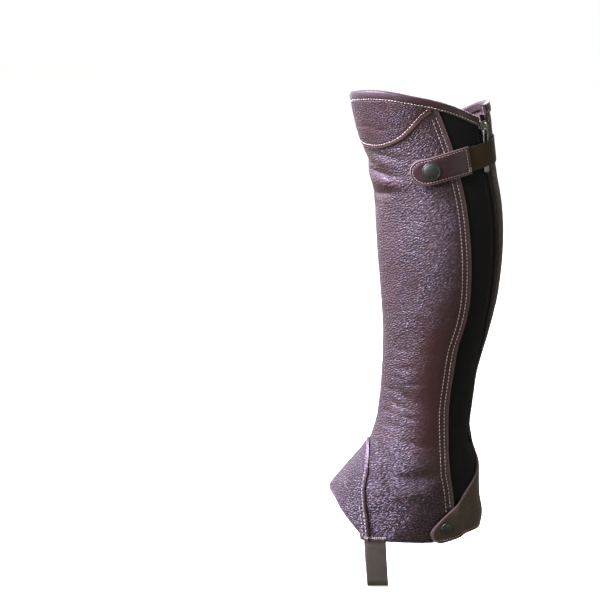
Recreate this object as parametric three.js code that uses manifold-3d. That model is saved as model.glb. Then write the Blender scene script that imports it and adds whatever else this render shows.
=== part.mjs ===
/**
 * Half chap for a left leg, in its worn shape and with nothing inside it: a leather gaiter
 * from just below the knee to the boot, closed up the back by a zip, with an elastic panel
 * beside the zip, a snapped strap over it, a snapped heel tab and a stirrup strap.
 *
 * Millimetres. +X points to the toe, +Y to the outside of the leg, +Z up. The origin is on
 * the leg's axis at the fullest part of the calf, where the chap grips the leg.
 *
 * Every piece lies on one form. A place on it is an angle and a height: the angle runs from
 * the shin (0) over the outside (90), the back (180) and the inside (270) to the shin again,
 * and the height is taken from the floor that the wearer stands on. A piece's lift is how far
 * its inner face stands off the form, so layers at a seam are the same form at other lifts.
 */
import * as THREE from 'three';
import Module from 'manifold-3d';

// ---------------------------------------------------------------- driving dimensions

const HOLD_HEIGHT = 357; // the fullest part of the calf, above the wearer's floor
const GAP = 0.35; // between neighbouring layers and at butted edges

const LEATHER = 1.4; // thickness of one layer of leather
const ELASTIC = 1.2; // thickness of the elastic webbing
const SEAM_LAP = 9; // how far one panel runs in under the next
const OVER_ONE = LEATHER + GAP; // lift of a piece that lies on one layer
const OVER_TWO = 2 * LEATHER + 2 * GAP; // lift of a piece that lies on two layers

/** Horizontal sections of the form: where they meet the shin and the back, and half widths. */
const FORM = [
  { height: 50, front: 146, back: -36, outer: 43, inner: 43, shin: 0 },
  { height: 60, front: 137, back: -39, outer: 42.6, inner: 42.6, shin: 0 },
  { height: 75, front: 125, back: -41.6, outer: 42, inner: 42, shin: 0 },
  { height: 94, front: 110.5, back: -39, outer: 41.2, inner: 41.4, shin: 0.02 },
  { height: 105, front: 103, back: -38.3, outer: 40.8, inner: 41, shin: 0.03 },
  { height: 116, front: 93.5, back: -38.2, outer: 40.2, inner: 40.6, shin: 0.04 },
  { height: 128, front: 83.3, back: -37.6, outer: 39.6, inner: 40, shin: 0.05 },
  { height: 139, front: 74, back: -34, outer: 39, inner: 39.4, shin: 0.05 },
  { height: 149, front: 67.4, back: -30.8, outer: 38.4, inner: 39, shin: 0.05 },
  { height: 163, front: 62.2, back: -30.2, outer: 38, inner: 39, shin: 0.06 },
  { height: 189, front: 57, back: -33, outer: 38, inner: 40, shin: 0.08 },
  { height: 220, front: 54.4, back: -37, outer: 41, inner: 43, shin: 0.1 },
  { height: 263, front: 53.4, back: -48.6, outer: 46.5, inner: 48.5, shin: 0.11 },
  { height: 300, front: 55.8, back: -57, outer: 52, inner: 54, shin: 0.11 },
  { height: 334, front: 58.6, back: -60.6, outer: 55, inner: 57, shin: 0.11 },
  { height: 369, front: 61, back: -61.3, outer: 56, inner: 58, shin: 0.1 },
  { height: 394, front: 62.6, back: -58.9, outer: 56, inner: 57, shin: 0.09 },
  { height: 417, front: 66, back: -54.6, outer: 55, inner: 55.5, shin: 0.07 },
  { height: 447, front: 74, back: -50.6, outer: 54, inner: 54, shin: 0.05 },
  { height: 475, front: 81.2, back: -47.6, outer: 53, inner: 52.5, shin: 0.03 },
  { height: 500, front: 86.4, back: -42, outer: 52, inner: 52, shin: 0.02 },
];

/**
 * The largest folds of the worn leather, as soft troughs (depth below zero) and rolls: where
 * the middle is, how many degrees it reaches to each side, how many millimetres it climbs in a
 * degree, how wide it is on each side of its line, and how deep.
 */
const FOLDS = [
  { angle: 12, height: 435, reach: 62, climb: -0.05, width: 7, depth: -2.3 },
  { angle: 14, height: 420, reach: 70, climb: -0.07, width: 9, depth: 1.5 },
  { angle: 92, height: 119, reach: 34, climb: 0.08, width: 7, depth: -2.2 },
  { angle: 62, height: 126, reach: 26, climb: -1.1, width: 8, depth: -1.6 },
  { angle: 60, height: 199, reach: 34, climb: -0.45, width: 9, depth: -1.4 },
  { angle: 255, height: 201, reach: 50, climb: 0.12, width: 8, depth: -2.4 },
  { angle: 250, height: 217, reach: 44, climb: 0.1, width: 9, depth: 1.7 },
  { angle: 275, height: 172, reach: 46, climb: -0.15, width: 8, depth: -1.8 },
  { angle: 268, height: 127, reach: 40, climb: 0.2, width: 8, depth: -2 },
];

/** Top edge from the inner seam round the shin to the outer side of the zip. */
const RIM_FRONT = [
  { angle: -110, height: 472 },
  { angle: -85, height: 470.5 },
  { angle: -60, height: 475 },
  { angle: -30, height: 489.5 },
  { angle: 0, height: 499.5 },
  { angle: 29, height: 503.5 },
  { angle: 53, height: 504.8 },
  { angle: 81, height: 500.5 },
  { angle: 110, height: 492.3 },
  { angle: 138, height: 479.5 },
  { angle: 145, height: 476.5 },
];

/** Top edge from the inner side of the zip round the back to the inner seam. */
const RIM_BACK = [
  { angle: 150, height: 488.5 },
  { angle: 166, height: 491 },
  { angle: 185, height: 491.5 },
  { angle: 210, height: 487.5 },
  { angle: 240, height: 477 },
  { angle: 275, height: 470.5 },
  { angle: 300, height: 475 },
];

/** Bottom edge of the leather, from the toe side of the outside round the heel. */
const HEM = [
  { angle: 60, height: 56 },
  { angle: 76, height: 56 },
  { angle: 90, height: 54.8 },
  { angle: 102, height: 53.8 },
  { angle: 116, height: 52.8 },
  { angle: 126, height: 53.2 },
  { angle: 138, height: 57 },
  { angle: 152, height: 60 },
  { angle: 180, height: 61.5 },
  { angle: 205, height: 59.5 },
  { angle: 230, height: 55.6 },
  { angle: 256, height: 54 },
  { angle: 275, height: 54.8 },
  { angle: 300, height: 56 },
];

/** Back edge of the front panel on the outside, as its place along X at each height. */
const OUTER_SEAM = [
  { height: 50, x: -15 },
  { height: 96, x: -12.4 },
  { height: 126, x: -8.4 },
  { height: 158, x: -6.6 },
  { height: 188, x: -6.8 },
  { height: 219, x: -10.2 },
  { height: 250, x: -14.8 },
  { height: 276, x: -22 },
  { height: 294, x: -25.2 },
  { height: 316, x: -26.6 },
  { height: 338, x: -26.4 },
  { height: 365, x: -24.6 },
  { height: 391, x: -21.4 },
  { height: 419, x: -15.2 },
  { height: 448, x: -7.2 },
  { height: 468, x: 0.2 },
  { height: 492, x: 9.5 },
];

/** Back edge of the front panel on the inside. */
const INNER_SEAM = [
  { height: 50, x: 59 },
  { height: 112, x: 57.5 },
  { height: 164, x: 51.5 },
  { height: 195, x: 47 },
  { height: 229, x: 42 },
  { height: 262, x: 41 },
  { height: 314, x: 38 },
  { height: 388, x: 25 },
  { height: 480, x: 12 },
];

/** Middle of the zip, as an angle at each height; it ends at the ankle. */
const ZIP_LINE = [
  { height: 140, angle: 171 },
  { height: 190, angle: 168.5 },
  { height: 230, angle: 163.5 },
  { height: 255, angle: 157.5 },
  { height: 280, angle: 152 },
  { height: 320, angle: 150 },
  { height: 370, angle: 149 },
  { height: 420, angle: 148 },
  { height: 500, angle: 146.5 },
];
const ZIP_FOOT = 152; // height of the zip's lower end
const ZIP_OPENING = 6.5; // from the middle of the zip to the edge of the panel on each side
const ZIP_CHAIN = { width: 6, thick: 1.6, foot: 154 };
/** Each half of the tape is this wide and thick, and ends inside the binding at its top. */
const ZIP_TAPE = { width: 11, thick: 0.8, foot: 149, outerHead: 466.5, innerHead: 480 };

/** Free edge of the inner panel below the zip, which becomes the heel tab. */
const HEEL_TAB_EDGE = [
  { height: 53.2, x: 2 },
  { height: 55, x: 6.5 },
  { height: 58, x: 9.4 },
  { height: 63, x: 10.8 },
  { height: 68, x: 8.8 },
  { height: 74, x: 3.8 },
  { height: 82, x: -4.2 },
  { height: 92, x: -16.2 },
  { height: 104, x: -25.4 },
  { height: 115, x: -32.6 },
  { height: 124, x: -36 },
  { height: 133, x: -35.4 },
  { height: 141, x: -32.9 },
];
const HEEL_TAB_TOP = 141; // where the tab's edge leaves the zip line
const HEEL_TAB_BLEND = 160; // where it has become the inner panel's edge at the zip

/**
 * How the heel tab climbs over its neighbours, each as where a climb starts and where it is done.
 * The elastic is climbed round the heel (angles) and below the zip (heights), the front panel at
 * its edge (distances behind it), and the snap's hidden halves near that edge and low down.
 */
const HEEL_TAB_CLIMB = {
  elastic: { angles: [194, 182], heights: [168, 152] },
  front: { distances: [11, 4] },
  snap: { distances: [10, 1], heights: [96, 80], raise: 2.4 },
};

/** The elastic panel ends above the hem and runs a little past the zip's line below the zip. */
const ELASTIC_PANEL = { foot: 66, pastZip: 3, opens: 142 };

/** Lower edge of the yoke that is laid on the front panel below the knee. */
const YOKE_EDGE = [
  { angle: -42, height: 470.5 },
  { angle: -30, height: 465.5 },
  { angle: -15, height: 459 },
  { angle: 0, height: 453.5 },
  { angle: 12, height: 450 },
  { angle: 26, height: 448.4 },
  { angle: 42, height: 448.8 },
  { angle: 55, height: 452.4 },
  { angle: 68, height: 459.2 },
  { angle: 77, height: 467.3 },
  { angle: 86, height: 477 },
  { angle: 95, height: 484 },
];
const YOKE_ENDS = { from: -42, to: 95 };

/** Upper edge of the toe extension; the front panel is cut out in the same shape, lower. */
const TOE_SEAM = [
  { angle: 0, height: 151 },
  { angle: 12, height: 148.8 },
  { angle: 27, height: 140 },
  { angle: 45, height: 122 },
  { angle: 65, height: 84 },
  { angle: 77, height: 58.5 },
];
const TOE_EXTENSION = { reach: 77, hem: 52, rise: 48, fall: 80, cutBelowSeam: 14 };

/** Heights of each panel's corners, lower and upper, at its left and its right edge. */
const CORNERS = {
  front: { left: [54.6, 469], right: [56, 489.6] },
  inner: { left: [53.2, 487.6], right: [55.6, 470] },
  elastic: { left: [66, 491.6], right: [66, 474] },
};

/**
 * Binding folded over the top edge: its reach down each side, the leather over the crown and how
 * deep the panels sit in it. It climbs over a seam between two distances from it, in degrees.
 */
const BINDING = { outside: 10, inside: 8, crown: 1.3, seat: 1.7, climb: [12, 4] };
const BINDING_ENDS = { backHeight: 490, frontHeight: 474, tablesMeet: -70 };

/** Middle of the strap that closes over the zip. */
const STRAP_LINE = [
  { angle: 66, height: 424.6 },
  { angle: 87, height: 427.6 },
  { angle: 97, height: 430.7 },
  { angle: 124, height: 437.8 },
  { angle: 140, height: 441.3 },
  { angle: 165, height: 445 },
  { angle: 190, height: 446.5 },
  { angle: 205, height: 446.5 },
];
const STRAP_TAB = { from: 68, to: 121.5, half: 12.6, widen: 0.9, thick: 2.4 };
const STRAP_WEBBING = { from: 115.5, to: 202, half: 11.6 };

/** Lift of the strap's leather tab and of its webbing, which passes over the zip pull. */
const TAB_LIFT = [
  { angle: 68, lift: 6 },
  { angle: 96, lift: 6 },
  { angle: 110, lift: 5.5 },
  { angle: 124, lift: 5 },
];
const WEBBING_LIFT = [
  { angle: 115, lift: 3.5 },
  { angle: 123, lift: 3.5 },
  { angle: 130, lift: 4.1 },
  { angle: 138, lift: 5.1 },
  { angle: 153, lift: 5.1 },
  { angle: 159, lift: 4 },
  { angle: 165, lift: 2.7 },
  { angle: 171, lift: 1.9 },
  { angle: 178, lift: 1.75 },
  { angle: 202, lift: 1.75 },
];

const SNAPS = [
  { name: 'upper_snap', angle: 86.5, height: 427.5, radius: 9, above: 8.4, below: 6, panel: 3.15 },
  { name: 'lower_snap', x: -5, height: 67.5, radius: 7.2, above: 7.8, below: 6.2, panel: 3.15 },
];

const SLIDER = { height: 467.5, width: 11, length: 13, thick: 2.6 };
/** Right half of the slider's outline from its narrow foot up, as shares of width and length. */
const SLIDER_SIDE = [[0.32, -0.5], [0.42, -0.1], [0.5, 0.22], [0.42, 0.5]];
const BAIL = { width: 2.4, length: 10, rise: 4.2, wire: 1.1, hinge: -2.1, clear: 1.25 };
const PULL = { width: 8.5, length: 43, wire: 1.4, lean: 1.5, hang: -7 };

/** The strap that runs under the sole, in front of the boot's heel. */
const STIRRUP = { top: 68, x: 65, width: 21, backward: 3.5, sole: 6, soleHalf: 30, corner: 10 };
const STIRRUP_LEAVES = 50; // height where the strap has left the panels
/** Heights of its cross rows: on the form, down to the sole's corners, and turns round them. */
const STIRRUP_ROWS = { onForm: [68, 62, 56], down: [50, 38, 27], turns: [0, 22.5, 45, 67.5, 90] };

const FINISH = {
  pebbled: { color: 0x553b39, roughness: 0.5, metalness: 0 },
  smooth: { color: 0x3c2d29, roughness: 0.45, metalness: 0 },
  stretch: { color: 0x141214, roughness: 0.9, metalness: 0 },
  webbing: { color: 0x3a3029, roughness: 0.85, metalness: 0 },
  zip: { color: 0x17171a, roughness: 0.6, metalness: 0 },
  nickel: { color: 0xb9b9b6, roughness: 0.3, metalness: 1 },
  gunmetal: { color: 0x6c6d68, roughness: 0.35, metalness: 1 },
};

// ---------------------------------------------------------------- the form

const { lerp, degToRad, smoothstep } = THREE.MathUtils;

/** Smooth curve through one column of a table whose rows rise in the key column. */
function along(table, key, column, at) {
  const last = table.length - 1;
  if (at <= table[0][key]) return table[0][column];
  if (at >= table[last][key]) return table[last][column];
  const row = table.findIndex((entry) => entry[key] > at) - 1;
  const span = (k) => table[k + 1][key] - table[k][key];
  const secant = (k) => (table[k + 1][column] - table[k][column]) / span(k);
  const slope = (k) => {
    if (k === 0) return secant(0);
    if (k === last) return secant(last - 1);
    return (secant(k - 1) * span(k) + secant(k) * span(k - 1)) / (span(k - 1) + span(k));
  };
  const t = (at - table[row][key]) / span(row);
  const start = table[row][column] * (1 + 2 * t) + slope(row) * span(row) * t;
  const end = table[row + 1][column] * (3 - 2 * t) - slope(row + 1) * span(row) * (1 - t);
  return start * (1 - t) ** 2 + end * t ** 2;
}

/** Centre and half sizes of the form's section at a height. */
function section(height) {
  const front = along(FORM, 'height', 'front', height);
  const back = along(FORM, 'height', 'back', height);
  return {
    centre: (front + back) / 2,
    half: (front - back) / 2,
    outer: along(FORM, 'height', 'outer', height),
    inner: along(FORM, 'height', 'inner', height),
    shin: along(FORM, 'height', 'shin', height),
  };
}

/** Depth of all folds together at a place on the form. */
function foldDepth(angle, height) {
  let depth = 0;
  for (const fold of FOLDS) {
    const turn = ((((angle - fold.angle) % 360) + 540) % 360) - 180;
    if (Math.abs(turn) < fold.reach) {
      const across = (height - fold.height - fold.climb * turn) / fold.width;
      const fade = Math.cos((Math.PI / 2) * (turn / fold.reach)) ** 2;
      depth += fold.depth * fade * Math.exp(-across * across);
    }
  }
  return depth;
}

/** A place on the form itself. */
function formPoint(angle, height) {
  const { centre, half, outer, inner, shin } = section(height);
  const cos = Math.cos(degToRad(angle));
  const sin = Math.sin(degToRad(angle));
  const width = sin > 0 ? outer : inner;
  const y = width * sin * (1 - shin * cos);
  const outward = new THREE.Vector3(cos / half, sin / width, 0).normalize();
  const point = new THREE.Vector3(centre + half * cos, y, height - HOLD_HEIGHT);
  return point.addScaledVector(outward, foldDepth(angle, height));
}

/** Directions on the form: round it, up it, and out of it. */
function directions(angle, height) {
  const step = 0.5;
  const round = formPoint(angle + step, height).sub(formPoint(angle - step, height));
  const up = formPoint(angle, height + step).sub(formPoint(angle, height - step));
  const perDegree = round.length() / (2 * step);
  const out = new THREE.Vector3().crossVectors(round, up).normalize();
  return { round: round.normalize(), up: up.normalize(), out, perDegree };
}

/** A point at some lift over a place on the form. */
function lifted(angle, height, lift) {
  return formPoint(angle, height).addScaledVector(directions(angle, height).out, lift);
}

/** Angle that is a distance further round from an angle. */
function further(angle, height, distance) {
  return angle + distance / directions(angle, height).perDegree;
}

/** Angle of the place on the outside (side 1) or inside (side -1) that has the given x. */
function angleAt(x, height, side) {
  const { centre, half } = section(height);
  return side * THREE.MathUtils.radToDeg(Math.acos(THREE.MathUtils.clamp((x - centre) / half, -1, 1)));
}

const outerSeam = (height) => angleAt(along(OUTER_SEAM, 'height', 'x', height), height, 1);
const innerSeam = (height) => angleAt(along(INNER_SEAM, 'height', 'x', height), height, -1);
const zipLine = (height) => along(ZIP_LINE, 'height', 'angle', height);
const rimFront = (angle) => along(RIM_FRONT, 'angle', 'height', angle);
const rimBack = (angle) => along(RIM_BACK, 'angle', 'height', angle);
const hem = (angle) => along(HEM, 'angle', 'height', angle < 0 ? angle + 360 : angle);

// ---------------------------------------------------------------- making solids

/** Closed sheet between two grids of points of the same size: two faces and the rim round them. */
function sheet(outer, inner) {
  const rows = outer.length;
  const columns = outer[0].length;
  const positions = [];
  for (const grid of [outer, inner]) {
    for (const row of grid) for (const point of row) positions.push(point.x, point.y, point.z);
  }
  const top = (j, i) => j * columns + i;
  const under = (j, i) => (rows + j) * columns + i;
  const faces = [];
  const quad = (a, b, c, d) => faces.push(a, b, c, a, c, d);
  for (let j = 0; j + 1 < rows; j += 1) {
    for (let i = 0; i + 1 < columns; i += 1) {
      quad(top(j, i), top(j, i + 1), top(j + 1, i + 1), top(j + 1, i));
      quad(under(j, i), under(j + 1, i), under(j + 1, i + 1), under(j, i + 1));
    }
    quad(top(j, 0), top(j + 1, 0), under(j + 1, 0), under(j, 0));
    quad(top(j + 1, columns - 1), top(j, columns - 1), under(j, columns - 1), under(j + 1, columns - 1));
  }
  for (let i = 0; i + 1 < columns; i += 1) {
    quad(top(0, i + 1), top(0, i), under(0, i), under(0, i + 1));
    quad(top(rows - 1, i), top(rows - 1, i + 1), under(rows - 1, i + 1), under(rows - 1, i));
  }
  const geometry = new THREE.BufferGeometry();
  geometry.setAttribute('position', new THREE.Float32BufferAttribute(positions, 3));
  geometry.setIndex(faces);
  geometry.computeVertexNormals();
  return geometry;
}

/** Wall of a thickness over a grid of places, each with its own lift. */
function wall(places, thick) {
  const points = (more) =>
    places.map((row) => row.map(({ angle, height, lift }) => lifted(angle, height, lift + more)));
  return sheet(points(thick), points(0));
}

/** Even steps from 0 to 1, or uneven ones from a list of sizes. */
function fractions(steps) {
  const sizes = Array.isArray(steps) ? steps : Array(steps).fill(1);
  const total = sizes.reduce((sum, size) => sum + size, 0);
  let run = 0;
  return [0, ...sizes.map((size) => (run += size) / total)];
}

/**
 * Grid of places in a panel. left and right give an edge's angle at a height, bottom and top
 * give an edge's height at an angle, and ends holds the heights of the panel's four corners.
 */
function panelPlaces({ left, right, bottom, top, ends, columns, rows, lift }) {
  const corner = (edge, height) => ({ angle: edge(height), height });
  return fractions(rows).map((v) => {
    const a = corner(left, lerp(ends.left[0], ends.left[1], v));
    const b = corner(right, lerp(ends.right[0], ends.right[1], v));
    const low = [left(ends.left[0]), right(ends.right[0])];
    const high = [left(ends.left[1]), right(ends.right[1])];
    return fractions(columns).map((u) => {
      const angle = lerp(a.angle, b.angle, u);
      const sag = bottom(lerp(low[0], low[1], u)) - lerp(ends.left[0], ends.right[0], u);
      const crown = top(lerp(high[0], high[1], u)) - lerp(ends.left[1], ends.right[1], u);
      const height = lerp(a.height, b.height, u) + (1 - v) * sag + v * crown;
      return { angle, height, lift: lift(angle, height) };
    });
  });
}

/** Steps up a panel, small at the ankle's folds and at the knee, larger along the calf. */
const PANEL_ROWS = [
  ...Array(11).fill(9),
  ...Array(5).fill(13),
  ...Array(6).fill(26),
  ...Array(8).fill(13),
];
/** The same up the inner panel, which bends most round its heel tab. */
const INNER_PANEL_ROWS = [
  ...[1.8, 3, 5, 5, 6],
  ...Array(10).fill(8.6),
  ...Array(4).fill(14),
  ...Array(7).fill(26),
  ...Array(6).fill(15),
];

// ---------------------------------------------------------------- the leather and elastic

/** Height of the cut edge of the front panel's lower end, which the toe extension covers. */
function frontPanelFoot(angle) {
  const turn = Math.abs(angle);
  const cut = along(TOE_SEAM, 'angle', 'height', turn) - TOE_EXTENSION.cutBelowSeam;
  return Math.max(cut, turn < 90 ? hem(turn) : hem(angle));
}

function frontPanel() {
  return wall(
    panelPlaces({
      left: innerSeam,
      right: outerSeam,
      bottom: frontPanelFoot,
      top: (angle) => rimFront(angle) - BINDING.seat,
      ends: CORNERS.front,
      columns: [1, 1, 1.5, ...Array(16).fill(2.1), 1, 1],
      rows: PANEL_ROWS,
      lift: () => OVER_ONE,
    }),
    LEATHER
  );
}

/** Angle of the edge of the inner panel at the zip, and below it of the heel tab. */
function innerPanelEdge(height) {
  if (height <= HEEL_TAB_TOP) return angleAt(along(HEEL_TAB_EDGE, 'height', 'x', height), height, 1);
  const beside = further(zipLine(height), height, ZIP_OPENING);
  const tab = angleAt(along(HEEL_TAB_EDGE, 'height', 'x', HEEL_TAB_TOP), HEEL_TAB_TOP, 1);
  return lerp(tab, beside, smoothstep(height, HEEL_TAB_TOP, HEEL_TAB_BLEND));
}

/** Share of a climb that is done, which grows as a value falls from its start to its end. */
const climbed = (value, [start, end]) => smoothstep(-value, -start, -end);

/** How far the inner panel stands off to pass over the elastic, the front panel and the snap. */
function innerPanelLift(angle, height) {
  const { elastic, front, snap } = HEEL_TAB_CLIMB;
  if (angle > elastic.angles[0]) return 0;
  const behindSeam = along(OUTER_SEAM, 'height', 'x', height) - formPoint(angle, height).x;
  const round = climbed(angle, elastic.angles);
  const overElastic = (OVER_ONE + GAP) * round * climbed(height, elastic.heights);
  const overFront = (OVER_TWO - OVER_ONE) * round * climbed(behindSeam, front.distances);
  const overSnap = snap.raise * climbed(behindSeam, snap.distances) * climbed(height, snap.heights);
  return overElastic + overFront + overSnap;
}

function innerPanel() {
  const under = (height) => further(innerSeam(height), height, SEAM_LAP) + 360;
  return wall(
    panelPlaces({
      left: innerPanelEdge,
      right: under,
      bottom: hem,
      top: (angle) => rimBack(angle) - BINDING.seat,
      ends: CORNERS.inner,
      columns: [1, 1, 1, ...Array(9).fill(1.6), ...Array(9).fill(2.2)],
      rows: INNER_PANEL_ROWS,
      lift: innerPanelLift,
    }),
    LEATHER
  );
}

function elasticPanel() {
  const front = (height) => further(outerSeam(height), height, -SEAM_LAP);
  const back = (height) => {
    const open = smoothstep(height, ELASTIC_PANEL.opens, ZIP_FOOT);
    return further(zipLine(height), height, lerp(ELASTIC_PANEL.pastZip, -ZIP_OPENING, open));
  };
  return wall(
    panelPlaces({
      left: front,
      right: back,
      bottom: () => ELASTIC_PANEL.foot,
      top: (angle) => rimFront(angle) - BINDING.seat,
      ends: CORNERS.elastic,
      columns: 6,
      rows: PANEL_ROWS.slice(2),
      lift: () => 0,
    }),
    LEATHER
  );
}

function kneeYoke() {
  const places = fractions(5).map((v) =>
    fractions(26).map((u) => {
      const angle = lerp(YOKE_ENDS.from, YOKE_ENDS.to, u);
      const low = along(YOKE_EDGE, 'angle', 'height', angle);
      const high = rimFront(angle) - BINDING.outside - GAP;
      return { angle, height: lerp(low, high, v), lift: OVER_TWO };
    })
  );
  return wall(places, LEATHER);
}

function toeExtension() {
  const { reach, hem: foot, rise, fall } = TOE_EXTENSION;
  const places = fractions(6).map((v) =>
    fractions(24).map((u) => {
      const angle = lerp(-reach, reach, u);
      const low = foot + rise * Math.cos(degToRad((90 * angle) / fall));
      const high = along(TOE_SEAM, 'angle', 'height', Math.abs(angle));
      return { angle, height: lerp(low, high, v), lift: OVER_TWO };
    })
  );
  return wall(places, LEATHER);
}

/** Leather folded over the top edge, open at the zip: a U in section, carried round the rim. */
function topBinding() {
  const { outside, inside, crown, seat, climb } = BINDING;
  const { backHeight, frontHeight, tablesMeet } = BINDING_ENDS;
  const start = further(zipLine(backHeight), backHeight, ZIP_OPENING) - 360;
  const end = further(zipLine(frontHeight), frontHeight, -ZIP_OPENING);
  const outer = [];
  const inner = [];
  for (const t of fractions(40)) {
    const angle = lerp(start, end, t);
    const rim = angle < tablesMeet ? rimBack(angle + 360) : rimFront(angle);
    const middle = rim - outside / 2;
    const overInnerSeam = climbed(innerSeam(middle) - angle, climb);
    const overOuterSeam = climbed(angle - outerSeam(middle), climb);
    const lift = OVER_ONE * (1 + overInnerSeam * overOuterSeam);
    const shell = lift + LEATHER;
    const at = (offset, drop) => lifted(angle, rim - drop, offset);
    outer.push([
      at(shell, outside),
      at(shell, outside / 2),
      at(shell, crown),
      at(lerp(shell, -seat, 0.25), 0),
      at(lerp(shell, -seat, 0.75), 0),
      at(-seat, crown),
      at(-seat, inside),
    ]);
    inner.push([
      at(lift, outside),
      at(lift, outside / 2),
      at(lift, crown + 0.1),
      at(lerp(lift, -GAP, 0.25), crown),
      at(lerp(lift, -GAP, 0.75), crown),
      at(-GAP, crown + 0.1),
      at(-GAP, inside),
    ]);
  }
  return sheet(outer.toReversed(), inner.toReversed());
}

// ---------------------------------------------------------------- zip

/** Steps up the zip, smaller where it bends at the ankle. */
const ZIP_STEPS = [...Array(9).fill(1), ...Array(14).fill(2)];

/** Ribbon that follows the zip between two distances from its middle. */
function zipRibbon({ from, to, foot, head, lift, thick }) {
  const places = fractions(ZIP_STEPS).map((v) => {
    const height = lerp(foot, head, v);
    return [from, (from + to) / 2, to].map((distance) => ({
      angle: further(zipLine(height), height, distance),
      height,
      lift,
    }));
  });
  return wall(places, thick);
}

/** Stands a mesh on the form: its x runs round the leg, its y up it and its z out of it. */
function standOn(mesh, angle, height, lift) {
  const { up, out } = directions(angle, height);
  const across = new THREE.Vector3().crossVectors(up, out).normalize();
  mesh.setRotationFromMatrix(new THREE.Matrix4().makeBasis(across, up, out));
  mesh.position.copy(lifted(angle, height, lift));
}

/** Closed outline from the points of its right half, the left half being its mirror image. */
function mirrored(right, path = new THREE.Shape()) {
  const left = right.map(([x, y]) => [-x, y]).toReversed();
  return path.setFromPoints([...right, ...left].map(([x, y]) => new THREE.Vector2(x, y)));
}

/** Rounded rectangle about the origin. */
function roundedRectangle(width, length, radius, path = new THREE.Shape()) {
  const x = width / 2;
  const y = length / 2;
  path.moveTo(-x + radius, -y);
  path.lineTo(x - radius, -y).absarc(x - radius, -y + radius, radius, -Math.PI / 2, 0, false);
  path.lineTo(x, y - radius).absarc(x - radius, y - radius, radius, 0, Math.PI / 2, false);
  path.lineTo(-x + radius, y).absarc(-x + radius, y - radius, radius, Math.PI / 2, Math.PI, false);
  path.lineTo(-x, -y + radius).absarc(-x + radius, -y + radius, radius, Math.PI, 1.5 * Math.PI, false);
  return path;
}

const wasm = await Module();
wasm.setup();

/** Joins two closed geometries into one. */
function joined(first, second) {
  const solids = [first, second].map((geometry) => {
    const plain = geometry.index ? geometry.toNonIndexed() : geometry;
    const { array, count } = plain.attributes.position;
    const mesh = new wasm.Mesh({
      numProp: 3,
      vertProperties: new Float32Array(array),
      triVerts: Uint32Array.from({ length: count }, (_, k) => k),
    });
    mesh.merge();
    return new wasm.Manifold(mesh);
  });
  const result = solids[0].add(solids[1]).getMesh();
  const geometry = new THREE.BufferGeometry();
  geometry.setAttribute('position', new THREE.Float32BufferAttribute(result.vertProperties, 3));
  geometry.setIndex(Array.from(result.triVerts));
  geometry.computeVertexNormals();
  return geometry;
}

/** Slider body, narrower at its lower end, with the bail that carries the pull. */
function zipSlider() {
  const { width, length, thick } = SLIDER;
  const body = mirrored(SLIDER_SIDE.map(([x, y]) => [x * width, y * length]));
  const plate = new THREE.ExtrudeGeometry(body, { depth: thick, bevelEnabled: false });

  const half = BAIL.length / 2;
  const clear = half - BAIL.wire;
  const top = BAIL.rise - BAIL.wire;
  const arch = mirrored([[half, -0.5], [half, BAIL.rise * 0.35], [half * 0.6, BAIL.rise]]);
  const eye = mirrored([[clear, 0.2], [clear, BAIL.rise * 0.4], [clear * 0.65, top]], new THREE.Path());
  arch.holes.push(eye);
  const bail = new THREE.ExtrudeGeometry(arch, { depth: BAIL.width, bevelEnabled: false });
  bail.translate(0, 0, -BAIL.width / 2);
  bail.applyMatrix4(
    new THREE.Matrix4().makeBasis(
      new THREE.Vector3(0, 1, 0),
      new THREE.Vector3(0, 0, 1),
      new THREE.Vector3(1, 0, 0)
    )
  );
  bail.translate(0, 0, thick);
  return joined(plate, bail);
}

/** Open wire frame that hangs in the bail; its own origin is the middle of its top bar. */
function zipPull() {
  const { width, length, wire } = PULL;
  const frame = roundedRectangle(width, length, 1.4);
  frame.holes.push(roundedRectangle(width - 2 * wire, length - 2 * wire, 0.6, new THREE.Path()));
  const pull = new THREE.ExtrudeGeometry(frame, { depth: wire, bevelEnabled: false, curveSegments: 3 });
  pull.translate(0, -(length - wire) / 2, -wire / 2);
  return pull;
}

// ---------------------------------------------------------------- strap, snaps and stirrup

const strapLine = (angle) => along(STRAP_LINE, 'angle', 'height', angle);

/** Leather end of the strap, rounded at its tip. */
function strapTab() {
  const { from, to, half, widen, thick } = STRAP_TAB;
  const middle = strapLine(from);
  const distances = [0.5, 1.6, 3.4, 6, 9, 12.6, 17.5, 23, 29, 35, 41, 47, 53];
  const end = distances.at(-1);
  const angles = distances.map((distance) => further(from, middle, distance));
  const scale = (to - from) / (angles.at(-1) - from);
  const across = [-1, -0.5, 0, 0.5, 1];
  const places = across.map((v) =>
    distances.map((distance, k) => {
      const angle = from + (angles[k] - from) * scale;
      const round = Math.sqrt(half ** 2 - Math.max(half - distance, 0) ** 2);
      const height = strapLine(angle) + v * (round + widen * (distance / end));
      return { angle, height, lift: along(TAB_LIFT, 'angle', 'lift', angle) };
    })
  );
  return wall(places, thick);
}

/** Elastic end of the strap, from under the tab over the zip to the inner panel. */
function strapWebbing() {
  const { from, to, half } = STRAP_WEBBING;
  const places = [-1, 0, 1].map((v) =>
    fractions(20).map((u) => {
      const angle = lerp(from, to, u);
      const height = strapLine(angle) + v * half;
      return { angle, height, lift: along(WEBBING_LIFT, 'angle', 'lift', angle) };
    })
  );
  return wall(places, ELASTIC);
}

/** Turned piece from its outline as [radius, rise] pairs, with the axis along z. */
function turned(outline) {
  const points = outline.map(([radius, rise]) => new THREE.Vector2(radius, rise));
  return new THREE.LatheGeometry(points, 20).rotateX(Math.PI / 2);
}

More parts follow.
